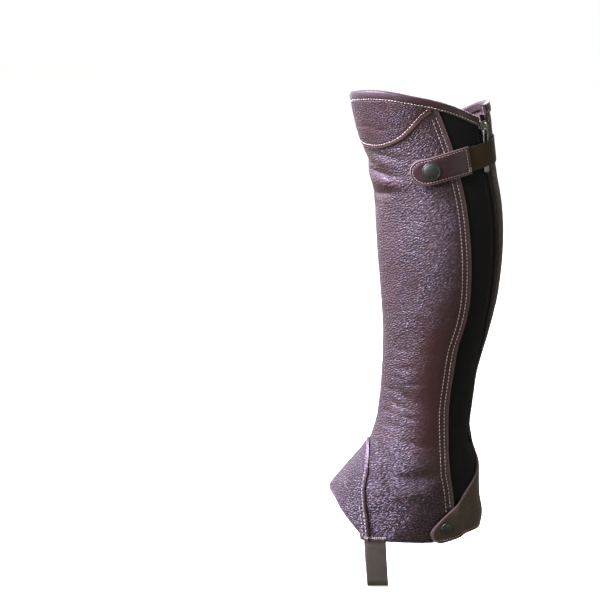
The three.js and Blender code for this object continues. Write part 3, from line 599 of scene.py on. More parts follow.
class Graph:
    """Node graph of one material, with short ways to add the nodes that the finishes use."""

    def __init__(self, name: str) -> None:
        """Starts an empty graph.

        Args:
            name: the material's name.
        """
        self.material = bpy.data.materials.new(name)
        self.material.use_nodes = True
        self.tree = self.material.node_tree
        self.tree.nodes.clear()

    def add(self, kind: str, inputs: dict | None = None, **settings: object) -> Node:
        """Adds a node.

        Args:
            kind: its type without the ShaderNode in front.
            inputs: a value or another node's output for each named or numbered input.
            settings: the node's own settings.

        Returns:
            The node.
        """
        node = self.tree.nodes.new("ShaderNode" + kind)
        for key, value in settings.items():
            setattr(node, key, value)
        for key, value in (inputs or {}).items():
            if isinstance(value, Socket):
                self.tree.links.new(value, node.inputs[key])
            else:
                node.inputs[key].default_value = value
        return node

    def calc(self, operation: str, a: object, b: object = 0.0, clamp: bool = False) -> Socket:
        """Result of a Math node on two values."""
        return self.add("Math", {0: a, 1: b}, operation=operation, use_clamp=clamp).outputs[0]

    def times(self, a: object, b: object) -> Socket:
        """Product of two values."""
        return self.calc("MULTIPLY", a, b)

    def plus(self, a: object, b: object) -> Socket:
        """Sum of two values."""
        return self.calc("ADD", a, b)

    def blend(self, share: object, a: object, b: object) -> Socket:
        """Colour at a share of the way from a to b, which are shades or a node's output."""
        a, b = (rgb(*end) if isinstance(end, tuple) else end for end in (a, b))
        return self.add("Mix", {0: share, 6: a, 7: b}, data_type="RGBA").outputs[2]

    def spread(
        self, value: object, low: float, high: float, start: float = 0.0, end: float = 1.0
    ) -> Socket:
        """Value brought from the range low to high to another one, held at its ends."""
        sizes = {"Value": value, "From Min": low, "From Max": high, "To Min": start, "To Max": end}
        return self.add("MapRange", sizes).outputs[0]

    def noise(self, where: object, scale: float, detail: float = 2.0, rough: float = 0.5) -> Socket:
        """Cloudy pattern at some scale."""
        sizes = {"Vector": where, "Scale": scale, "Detail": detail, "Roughness": rough}
        return self.add("TexNoise", sizes).outputs[0]

    def clouds(
        self, where: object, scale: float, rough: float, dark: Colour, light: Colour
    ) -> Socket:
        """Two shades in soft patches."""
        share = self.spread(self.noise(where, scale, 4.0, rough), 0.3, 0.7)
        return self.blend(share, dark, light)

    def cells(self, where: object, feature: str, scale: float = 1.0, loose: float = 0.96) -> Node:
        """Flat pattern of cells, in loose order."""
        sizes = {"Vector": where, "Scale": scale, "Randomness": loose}
        return self.add("TexVoronoi", sizes, feature=feature, voronoi_dimensions="2D")

    def tone(self, name: str) -> Socket:
        """A tone that the mesh carries on its points."""
        return self.add("Attribute", attribute_name=name).outputs["Fac"]

    def flat(self, across: float = 1.0, up: float = 1.0) -> Socket:
        """Place on the flat cut, across and up it, each in units of a length."""
        cut, scale = self.add("UVMap", uv_map="cut").outputs[0], (1 / across / MM, 1 / up / MM, 1.0)
        return self.add("Mapping", {"Vector": cut, "Scale": scale}).outputs[0]

    def solid(self) -> Socket:
        """Place in the object in millimetres."""
        place = self.add("TexCoord").outputs["Object"]
        return self.add("Mapping", {"Vector": place, "Scale": (1 / MM,) * 3}).outputs[0]

    def bump(self, height: object, depth: float) -> Socket:
        """Normal of a relief with the given depth in millimetres."""
        return self.add("Bump", {"Height": height, "Distance": depth * MM}).outputs[0]

    def surface(self, colour: object, rough: object, relief: object, **fixed: object) -> None:
        """Closes the graph with the shader.

        Args:
            colour: base colour.
            rough: roughness.
            relief: normal.
            fixed: other inputs of the shader by name, with _ for a space; each is a plain value.
        """
        sizes = {"Base Color": colour, "Roughness": rough, "Normal": relief}
        shader = self.add("BsdfPrincipled", sizes)
        for key, value in fixed.items():
            shader.inputs[key.replace("_", " ")].default_value = value
        self.add("OutputMaterial", {0: shader.outputs[0]})


def rgb(red: float, green: float, blue: float) -> tuple[float, float, float, float]:
    """Shader colour of a shade with parts from 0 to 255."""
    return tuple((c / 255) ** 2.2 for c in (red, green, blue)) + (1.0,)


class Finish:
    """A finish, whose material is made once."""

    name: str

    def lay(self, g: Graph) -> None:
        """Lays the finish out on an empty graph."""
        raise NotImplementedError

    @cache
    def material(self) -> Material:
        """The finish's one material."""
        self.lay(graph := Graph(self.name))
        return graph.material


@dataclass(frozen=True)
class PebbledLeather(Finish):
    """Tumbled full-grain leather: pebbles between dark lines that also carry painted shade, and a
    pale mauve on the pebble tops that is rub wear and a painted highlight.

    The mesh's tones say where the grain is strong, where the leather is reddish, where a turned
    or cut edge is pale, and where it is the plain olive leather of the heel tab. The pebbles'
    and wrinkles' sizes are across and up the leather.
    """

    name: str
    pebble: Pair = (3.8, 2.3)
    wrinkle: Pair = (7.5, 2.8)
    depth: float = 1.05
    clump: float = 0.35
    gloss: float = 0.6
    dark: Colour = (54, 33, 28)
    light: Colour = (68, 43, 37)
    red: Colour = (62, 38, 35)
    # Colour of the raised pebble tops: rub wear together with a painted mauve highlight.
    rub_and_highlight: Colour = (116, 92, 92)
    # Near black of the lines between pebbles: their own dark colour together with painted shade in
    # them.
    crack_and_shade: Colour = (13, 7, 6)
    olive: tuple[Colour, Colour] = ((64, 52, 36), (82, 68, 49))
    pale: tuple[Colour, Colour] = ((96, 78, 72), (142, 124, 116))

    def lay(self, g: Graph) -> None:
        """Lays out the leather.

        Args:
            g: the material's graph.
        """
        edge, wrinkle, relief = self.pebbles(g)
        flat = g.flat()
        patches = g.noise(flat, 0.045, 3.0)
        clump = g.spread(patches, 0.35, 0.65, 1.0 - self.clump, 1.0 + self.clump * 0.3)
        grain = g.times(g.tone("grain"), clump)
        pores = g.noise(flat, 2.6, 3.0, 0.6)
        height = g.plus(g.times(relief, grain), g.times(pores, 0.16))

        tint = g.spread(g.noise(flat, 0.02, 4.0, 0.6), 0.3, 0.7)
        base = g.blend(tint, self.dark, self.light)
        base = g.blend(g.times(g.tone("red"), 0.7), base, self.red)
        # Painted highlight, with rub wear: the raised pebble tops are mixed towards a pale mauve
        # that stands for the lavender sheen of the light.
        rub_and_highlight_share = g.times(g.spread(relief, 0.5, 0.95), g.times(grain, 0.3))
        base = g.blend(rub_and_highlight_share, base, self.rub_and_highlight)
        # Painted shade: the lines between pebbles and the wrinkle lines are darkened towards near
        # black, on top of their own darker colour.
        wrinkle_line_and_shade = g.times(g.calc("SUBTRACT", 1.0, wrinkle), 0.65)
        crack_and_shade_share = g.calc("MAXIMUM", g.spread(edge, 0.26, 0.05), wrinkle_line_and_shade)
        crack_and_shade_share = g.times(crack_and_shade_share, g.calc("MULTIPLY", grain, 1.0, clamp=True))
        base = g.blend(crack_and_shade_share, base, self.crack_and_shade)
        olive = g.blend(tint, *self.olive)
        base = g.blend(g.times(g.tone("tab"), 0.92), base, olive)
        pale = g.blend(g.noise(flat, 0.5, 3.0), *self.pale)
        base = g.blend(g.tone("edge"), base, pale)

        rough = g.plus(g.spread(pores, 0.3, 0.7, 0.24, 0.31), g.times(crack_and_shade_share, 0.5))
        rough = g.plus(rough, g.times(g.tone("edge"), 0.2))
        g.surface(
            base, rough, g.bump(height, self.depth),
            Specular_IOR_Level=self.gloss, Specular_Tint=(0.96, 0.88, 1.0, 1.0),
        )

    def pebbles(self, g: Graph) -> tuple[Socket, Socket, Socket]:
        """Lays out the grain: domed pebbles in swaying rows, with wrinkles through them.

        Args:
            g: the leather's graph.

        Returns:
            The distance to a pebble's edge, the wrinkles, at 0 in their middle, and the relief.
        """
        place = g.flat(*self.pebble)
        noise = {"Vector": place, "Scale": 0.45, "Detail": 2.0}
        sway = g.add("TexNoise", noise).outputs["Color"]
        sway = g.add("VectorMath", {0: sway, 1: (0.5, 0.5, 0.5)}, operation="SUBTRACT").outputs[0]
        sway = g.add("VectorMath", {0: sway, "Scale": 1.1}, operation="SCALE").outputs[0]
        place = g.add("VectorMath", {0: place, 1: sway}, operation="ADD").outputs[0]
        edge = g.cells(place, "DISTANCE_TO_EDGE").outputs[0]
        middle = g.cells(place, "F1")
        dome = g.calc("SUBTRACT", 1.0, middle.outputs[0], clamp=True)
        own = g.spread(middle.outputs["Color"], 0.2, 0.8, 0.4, 1.0)
        relief = g.times(g.times(g.spread(edge, 0.0, 0.3), 0.35), own)
        wavy = g.noise(g.flat(*self.wrinkle), 1.0, 1.6)
        wrinkle = g.spread(g.calc("ABSOLUTE", g.calc("SUBTRACT", wavy, 0.5)), 0.0, 0.07)
        relief = g.plus(g.plus(relief, g.times(dome, 0.5)), g.times(wrinkle, 0.2))
        return edge, wrinkle, relief


@dataclass(frozen=True)
class SmoothLeather(Finish):
    """Fine-grained leather with faint pores, small wrinkles and paler edges; its edge tone also
    paints highlights.
    """

    name: str
    dark: Colour
    light: Colour
    gloss: float = 0.4
    pore: Colour = (34, 24, 22)
    # Pale edge shades, which also serve for painted highlights.
    pale: tuple[Colour, Colour] = ((110, 92, 84), (158, 138, 126))

    def lay(self, g: Graph) -> None:
        """Lays out the leather.

        Args:
            g: the material's graph.
        """
        flat = g.flat()
        base = g.clouds(flat, 0.06, 0.6, self.dark, self.light)
        pores = g.cells(flat, "F1", 0.9, 1.0).outputs[0]
        fine = g.noise(flat, 1.8, 4.0, 0.65)
        wrinkles = g.noise(g.flat(1 / 0.06, 1 / 0.6), 1.0, 3.0)
        height = g.plus(g.times(pores, 0.35), g.times(fine, 0.4))
        height = g.plus(height, g.times(wrinkles, 0.5))
        base = g.blend(g.spread(pores, 0.0, 0.4, 0.35, 0.0), base, self.pore)
        pale = g.blend(fine, *self.pale)
        # Paler at cut edges, and where the mesh's edge tone paints a highlight.
        base = g.blend(g.times(g.tone("edge"), 0.85), base, pale)
        rough = g.spread(fine, 0.3, 0.7, self.gloss - 0.05, self.gloss + 0.1)
        g.surface(
            base, rough, g.bump(height, 0.22), Specular_IOR_Level=0.5,
            Specular_Tint=(0.95, 0.9, 1.0, 1.0), Sheen_Weight=0.15, Sheen_Roughness=0.4,
            Sheen_Tint=(0.85, 0.78, 0.95, 1.0),
        )


@dataclass(frozen=True)
class Suede(Finish):
    """Flesh side or cut edge of leather: short matt nap with streaks."""

    name: str
    dark: Colour
    light: Colour
    nap: float = 0.35

    def lay(self, g: Graph) -> None:
        """Lays out the suede.

        Args:
            g: the material's graph.
        """
        solid = g.solid()
        base = g.clouds(solid, 0.03, 0.65, self.dark, self.light)
        fibre = g.noise(solid, 1.6, 5.0, 0.75)
        streak = tuple(c * 0.55 for c in self.dark)
        base = g.blend(g.spread(fibre, 0.4, 0.75, 0.0, 0.4), base, streak)
        g.surface(
            base, g.spread(fibre, 0.2, 0.8, 0.85, 0.98), g.bump(fibre, self.nap),
            Specular_IOR_Level=0.2, Sheen_Weight=0.35, Sheen_Roughness=0.6,
            Sheen_Tint=(0.9, 0.82, 0.75, 1.0),
        )


@dataclass(frozen=True)
class RibbedCloth(Finish):
    """Woven or knitted elastic with fine ribs along its length and rows across."""

    name: str
    dark: Colour
    light: Colour
    rib: float
    row: float
    depth: float = 0.25
    sheen: float = 0.2

    def lay(self, g: Graph) -> None:
        """Lays out the cloth.

        Args:
            g: the material's graph.
        """
        flat = g.flat()
        shake = g.times(g.noise(flat, 0.6, 3.0), 1.2)
        ribs = {"Vector": flat, "Scale": 0.314 / self.rib, "Distortion": 0.25, "Detail": 1.0}
        rib = g.add("TexWave", ribs, bands_direction="X", wave_profile="SIN").outputs[1]
        rows = ribs | {"Scale": 0.314 / self.row, "Distortion": 0.4, "Phase Offset": shake}
        row = g.add("TexWave", rows, bands_direction="Y", wave_profile="SIN").outputs[1]
        fuzz = g.noise(flat, 3.0, 4.0, 0.7)
        weave = g.times(rib, g.spread(row, 0.0, 1.0, 0.55, 1.0))
        height = g.plus(weave, g.times(fuzz, 0.35))
        share = g.times(weave, g.spread(g.noise(flat, 0.05, 3.0), 0.3, 0.7, 0.6, 1.0))
        base = g.blend(share, self.dark, self.light)
        g.surface(
            base, g.spread(fuzz, 0.2, 0.8, 0.72, 0.92), g.bump(height, self.depth),
            Specular_IOR_Level=0.3, Sheen_Weight=self.sheen, Sheen_Roughness=0.5,
            Sheen_Tint=(0.7, 0.7, 0.72, 1.0),
        )


@dataclass(frozen=True)
class Metal(Finish):
    """Plated metal with brushed streaks, dull patches and small scratches."""

    name: str
    colour: Colour
    stain: Colour
    rough: float

    def lay(self, g: Graph) -> None:
        """Lays out the metal.

        Args:
            g: the material's graph.
        """
        solid = g.solid()
        patch = g.spread(g.noise(solid, 0.35, 4.0, 0.65), 0.4, 0.75)
        base = g.blend(g.times(patch, 0.6), self.colour, self.stain)
        brushed = {"Vector": solid, "Scale": (0.4, 4.0, 0.6), "Rotation": (0.3, 0.5, 0.4)}
        scratch = g.noise(g.add("Mapping", brushed).outputs[0], 2.2, 4.0, 0.7)
        rough = g.spread(scratch, 0.35, 0.7, self.rough - 0.06, self.rough + 0.1)
        rough = g.plus(rough, g.times(patch, 0.12))
        height = g.plus(g.times(scratch, 0.5), g.noise(solid, 1.5))
        g.surface(base, rough, g.bump(height, 0.03), Metallic=1.0)


@dataclass(frozen=True)
class Thread(Finish):
    """Twisted sewing thread, waxed and a little dirty."""

    name: str
    light: Colour
    dark: Colour

    def lay(self, g: Graph) -> None:
        """Lays out the thread.

        Args:
            g: the material's graph.
        """
        solid = g.solid()
        strands = {"Vector": solid, "Scale": 0.9, "Distortion": 2.0}
        twist = g.add("TexWave", strands, bands_direction="DIAGONAL").outputs[1]
        dirt = g.spread(g.noise(solid, 0.12, 4.0, 0.7), 0.4, 0.72)
        base = g.blend(g.times(twist, 0.25), self.light, self.dark)
        base = g.blend(g.times(dirt, 0.55), base, self.dark)
        g.surface(
            base, g.spread(twist, 0.0, 1.0, 0.5, 0.7), g.bump(twist, 0.08),
            Specular_IOR_Level=0.35, Sheen_Weight=0.2,
        )


@dataclass(frozen=True)
class Nylon(Finish):
    """Moulded nylon of the zip's coil."""

    name: str
    dark: Colour
    light: Colour

    def lay(self, g: Graph) -> None:
        """Lays out the nylon.

        Args:
            g: the material's graph.
        """
        solid = g.solid()
        worn = g.spread(g.noise(solid, 0.3, 4.0, 0.6), 0.4, 0.7)
        base = g.blend(worn, self.dark, self.light)
        relief = g.bump(g.noise(solid, 3.0, 3.0), 0.04)
        g.surface(base, g.spread(worn, 0.0, 1.0, 0.32, 0.5), relief, Specular_IOR_Level=0.5)


SHAFT_LEATHER = PebbledLeather("pebbled_leather")
TOE_LEATHER = PebbledLeather("pebbled_leather_toe", (3.0, 2.3), (5.0, 3.4), 1.2, 0.25, 0.8)
YOKE_LEATHER = PebbledLeather("pebbled_leather_yoke", (2.9, 1.9), (5.0, 2.8), 0.7, 0.5, 0.42)
BINDING_LEATHER = SmoothLeather("binding_leather", (50, 35, 33), (68, 50, 48))
STRAP_LEATHER = SmoothLeather("strap_leather", (46, 30, 28), (60, 40, 38), gloss=0.36)
FLESH_SIDE = Suede("flesh_side", (54, 41, 33), (80, 63, 52))
CUT_EDGE = Suede("cut_edge", (92, 76, 72), (136, 120, 116), nap=0.15)
# Dark cut edge. On the toe extension's rim it is a painted shadow line along the seam.
DARK_EDGE_AND_SHADOW = Suede("dark_edge_and_shadow", (30, 21, 18), (48, 36, 31), nap=0.15)
BLACK_STRETCH = RibbedCloth("black_stretch", (9, 9, 10), (26, 25, 27), 1.1, 1.4, sheen=0.04)
STRAP_ELASTIC = RibbedCloth("strap_elastic", (52, 42, 27), (90, 75, 50), 0.95, 0.8, sheen=0.08)
STIRRUP_ELASTIC = RibbedCloth(
    "stirrup_elastic", (84, 78, 71), (136, 128, 117), 0.95, 0.8, sheen=0.1,
)
ZIP_TAPE_CLOTH = RibbedCloth("zip_tape_cloth", (13, 12, 13), (36, 34, 34), 0.9, 1.0, 0.18, 0.06)
ZIP_NYLON = Nylon("zip_nylon", (30, 28, 28), (72, 68, 66))
NICKEL = Metal("nickel_plate", (164, 163, 158), (92, 88, 80), 0.24)
GUNMETAL = Metal("gunmetal_plate", (88, 90, 86), (56, 58, 53), 0.42)
CREAM_THREAD = Thread("cream_thread", (236, 220, 212), (156, 130, 120))
DARK_THREAD = Thread("dark_thread", (96, 80, 68), (44, 36, 32))


# ---------------------------------------------------------------- making pieces


def into_scene(name: str, data: ID) -> Object:
    """Puts an object in the scene, with its mesh, light or lens."""
    bpy.context.scene.collection.objects.link(thing := bpy.data.objects.new(name, data))
    return thing


def only(kind: type, parts: Sequence[object]) -> list:
    """Those of a bmesh operator's parts that are of one kind."""
    return [part for part in parts if isinstance(part, kind)]


def add_piece(
    name: str,
    mesh: Mesh,
    finishes: Sequence[Finish],
    body: Body = Body.CHAP,
    stands_for: Sequence[str] = (),
) -> Object:
    """Puts a finished mesh in the scene as a piece of the chap.

    Args:
        name: the piece's name.
        mesh: its mesh, in metres and in its place.
        finishes: its finishes, in the order of its mesh's numbers.
        body: what it rides on.
        stands_for: solids of the model that it replaces.

    Returns:
        The piece.
    """
    piece = into_scene(name, mesh)
    for finish in finishes:
        mesh.materials.append(finish.material())
    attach(piece, body.value)
    if stands_for:
        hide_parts(*stands_for)
    log.info("%s: %d faces", name, len(mesh.polygons))
    return piece


@dataclass
class Grid:
    """Points of a sheet of cloth as rows and columns, with what its finish needs to know."""

    points: Array
    tones: dict[str, Array] = field(default_factory=dict)

    def cut(self) -> Array:
        """Place of each point on the flat cut, measured along its row and up its column."""
        return np.stack([run_along(self.points, 1), run_along(self.points)], axis=-1)

    def mesh(self, name: str, cut: Array | None = None) -> Mesh:
        """Makes the sheet's mesh from a flat grid that is bent to its points.

        Args:
            name: the mesh's name.
            cut: place of each point on the flat cut, if it isn't the measured one.

        Returns:
            The mesh, with its cut as a UV map and its tones as attributes.
        """
        rows, columns = (n - 1 for n in self.points.shape[:2])
        flat = bmesh.new()
        bmesh.ops.create_grid(flat, x_segments=columns, y_segments=rows, size=0.5)
        mesh = bpy.data.meshes.new(name)
        flat.to_mesh(mesh)
        flat.free()
        place = np.empty(len(mesh.vertices) * 3, np.float32)
        mesh.vertices.foreach_get("co", place)
        place = place.reshape(-1, 3)
        i = np.rint((place[:, 0] + 0.5) * columns).astype(int)
        j = np.rint((place[:, 1] + 0.5) * rows).astype(int)
        mesh.vertices.foreach_set("co", (self.points[j, i] * MM).astype(np.float32).ravel())
        corner = np.empty(len(mesh.loops), np.int32)
        mesh.loops.foreach_get("vertex_index", corner)
        lengths = (self.cut() if cut is None else cut)[j, i] * MM
        lengths = lengths[corner].astype(np.float32)
        mesh.uv_layers.new(name="cut").data.foreach_set("uv", lengths.ravel())
        for tone, values in self.tones.items():
            values = np.broadcast_to(values, self.points.shape[:2])[j, i]
            attribute = mesh.attributes.new(tone, "FLOAT", "POINT")
            attribute.data.foreach_set("value", values.astype(np.float32))
        mesh.shade_smooth()
        mesh.update()
        return mesh


def leather_tones(
    grain: Array, edge: Array, red: Number = 0.0, tab: Number = 0.0
) -> dict[str, Number]:
    """Tones that pebbled leather reads from its mesh."""
    return {"grain": grain, "edge": edge, "red": red, "tab": tab}


def give_wall(piece: Object, thick: float, soft: float = 0.3) -> None:
    """Gives a sheet its thickness inward, with its own finish inside and at its cut, soft edges.

    Args:
        piece: the sheet.
        thick: its thickness.
        soft: size of the rounding at its edges.
    """
    wall = piece.modifiers.new("wall", "SOLIDIFY")
    wall.thickness = thick * MM
    wall.offset = -1.0
    wall.use_quality_normals = True
    wall.material_offset = 1
    wall.material_offset_rim = 2
    bevel = piece.modifiers.new("soft_edge", "BEVEL")
    bevel.width = soft * MM
    bevel.segments = 2
    bevel.profile = 0.5
    bevel.limit_method = "ANGLE"
    bevel.angle_limit = math.radians(55)


def add_sheet(
    name: str,
    grid: Grid,
    finishes: Sequence[Finish],
    node: str,
    thick: float = LEATHER,
    soft: float = 0.3,
    cut: Array | None = None,
) -> Object:
    """Makes a piece of leather or cloth from its grid.

    Args:
        name: the piece's name.
        grid: its outer face.
        finishes: finishes of its outer face, its inner face and its cut edges.
        node: the solid that it replaces.
        thick: its thickness.
        soft: size of the rounding at its edges.
        cut: place of each point on the flat cut, if it isn't the measured one.

    Returns:
        The piece.
    """
    piece = add_piece(name, grid.mesh(name, cut), finishes, stands_for=[node])
    give_wall(piece, thick, soft)
    return piece


@dataclass
class PanelCut:
    """A panel between two edges up the leg and two edges round it."""

    left: Line
    right: Line
    bottom: Line
    top: Line
    left_ends: Pair
    right_ends: Pair
    columns: int
    rows: int
    crowd: float = 0.5

    def places(self) -> tuple[Array, Array]:
        """Places of the panel's grid, closer together near its left and right edges.

        Returns:
            The angles and heights of all points.
        """
        t = np.linspace(0.0, 1.0, self.columns + 1)
        u = (t - self.crowd * np.sin(2 * np.pi * t) / (2 * np.pi))[None, :]
        v = np.linspace(0.0, 1.0, self.rows + 1)[:, None]
        (left_foot, left_head), (right_foot, right_head) = self.left_ends, self.right_ends
        left_height, right_height = mixed(left_foot, left_head, v), mixed(right_foot, right_head, v)
        angle = mixed(self.left(left_height), self.right(right_height), u)
        foot = mixed(self.left(left_foot), self.right(right_foot), u)
        head = mixed(self.left(left_head), self.right(right_head), u)
        sag = self.bottom(foot) - mixed(left_foot, right_foot, u)
        crown = self.top(head) - mixed(left_head, right_head, u)
        height = mixed(left_height, right_height, u) + (1 - v) * sag + v * crown
        return angle, height


class Beads:
    """Collects many small rounded spindles, such as stitches or turns of a coil, into one piece."""

    def __init__(self, name: str, finish: Finish) -> None:
        """Starts with none, of some finish, for the piece of some name."""
        self.name, self.finish = name, finish
        self.places: list[Array] = []

    def bead(self, middle: Array, along: Array, out: Array, size: Triple) -> None:
        """Adds one spindle.

        Args:
            middle: its middle.
            along: direction of its length.
            out: direction out of the surface that it lies on.
            size: its length, width and height.
        """
        across = unit(np.cross(out, along))
        upward = np.cross(along, across)
        ways = [across * size[1], upward * size[2], along * size[0], middle]
        self.places.append(np.stack(ways) * MM)

    def tie_off(self, slot: Slot = Slot.PEBBLED, stands_for: Sequence[str] = ()) -> None:
        """Makes the piece: one spindle is copied until there are enough, and all are placed.

        Args:
            slot: the record's finish that it goes with; not used.
            stands_for: solids of the model that it replaces.
        """
        mesh = bpy.data.meshes.new(self.name)
        made = bmesh.new()
        bmesh.ops.create_uvsphere(made, u_segments=6, v_segments=5, radius=0.5)
        made.to_mesh(mesh)  # its parts are numbered afresh by the way through a mesh
        made.clear()
        made.from_mesh(mesh)
        one = (len(made.verts), len(made.edges), len(made.faces))
        count, wanted = 1, len(self.places)
        while count < wanted:
            more = min(count, wanted - count)
            parts = zip((made.verts, made.edges, made.faces), one)
            geom = [part for whole, size in parts for part in whole[: more * size]]
            bmesh.ops.duplicate(made, geom=geom)
            count += more
        made.to_mesh(mesh)
        made.free()
        shape = np.empty(len(mesh.vertices) * 3, np.float32)
        mesh.vertices.foreach_get("co", shape)
        shape = shape.reshape(wanted, one[0], 3)
        places = np.stack(self.places)
        shape = np.einsum("nvk,nkc->nvc", shape, places[:, :3]) + places[:, 3:]
        mesh.vertices.foreach_set("co", shape.astype(np.float32).ravel())
        mesh.shade_smooth()
        mesh.update()
        add_piece(self.name, mesh, [self.finish], stands_for=stands_for)


class Needle(Beads):
    """Sews rows of stitches along lines on the chap."""

    def __init__(self, name: str, finish: Finish = CREAM_THREAD) -> None:
        """Threads the needle, with cream thread unless another is given."""
        super().__init__(name, finish)

    def line(
        self, points: Array, out: Array,
        pitch: float = 3.6, thick: float = 0.78, share: float = 0.74,
    ) -> None:
        """Sews stitches along a line.

        Args:
            points: points of the line on the leather.
            out: direction out of the leather at each.
            pitch: length from stitch to stitch.
            thick: width of the thread.
            share: how much of the pitch the thread shows.
        """
        run = run_along(points)
        count = max(1, int(run[-1] / pitch))
        step = run[-1] / count

        def at(length: float) -> Array:
            """Point at a length along the line."""
            return np.array([np.interp(length, run, points[:, k]) for k in range(3)])

        for k in range(count):
            start, end = at((k + 0.5 - share / 2) * step), at((k + 0.5 + share / 2) * step)
            near = min(len(out) - 1, int(np.searchsorted(run, (k + 0.5) * step)))
            along = unit(end - start)
            up = unit(out[near] - along * np.dot(out[near], along))
            size = (float(np.linalg.norm(end - start)), thick, thick * 0.8)
            self.bead((start + end) / 2 + up * thick * 0.12, along, up, size)

    def on_form(
        self, angle: Array, height: Array, lift: Number,
        form: WornForm = WORN, **how: float,
    ) -> None:
        """Sews stitches along a line on the form, whose face has a lift there."""
        points = form.lifted(angle, height, lift)
        self.line(points, form.directions(angle, height).out, **how)


def place_mesh(name: str, made: BMesh, place: Matrix, smooth: float = 40.0) -> Mesh:
    """Finishes a stiff piece that was modelled about its own origin in millimetres.

    Args:
        name: the mesh's name.
        made: its shape.
        place: its place on the chap in millimetres.
        smooth: angle in degrees from which an edge stays sharp.

    Returns:
        The mesh in metres, in its place.
    """
    bmesh.ops.remove_doubles(made, verts=made.verts[:], dist=1e-4)
    bmesh.ops.recalc_face_normals(made, faces=made.faces[:])
    made.transform(Matrix.Scale(MM, 4) @ place)
    mesh = bpy.data.meshes.new(name)
    made.to_mesh(mesh)
    made.free()
    mesh.shade_smooth()
    mesh.set_sharp_from_angle(angle=math.radians(smooth))
    return mesh


# ---------------------------------------------------------------- leather and elastic


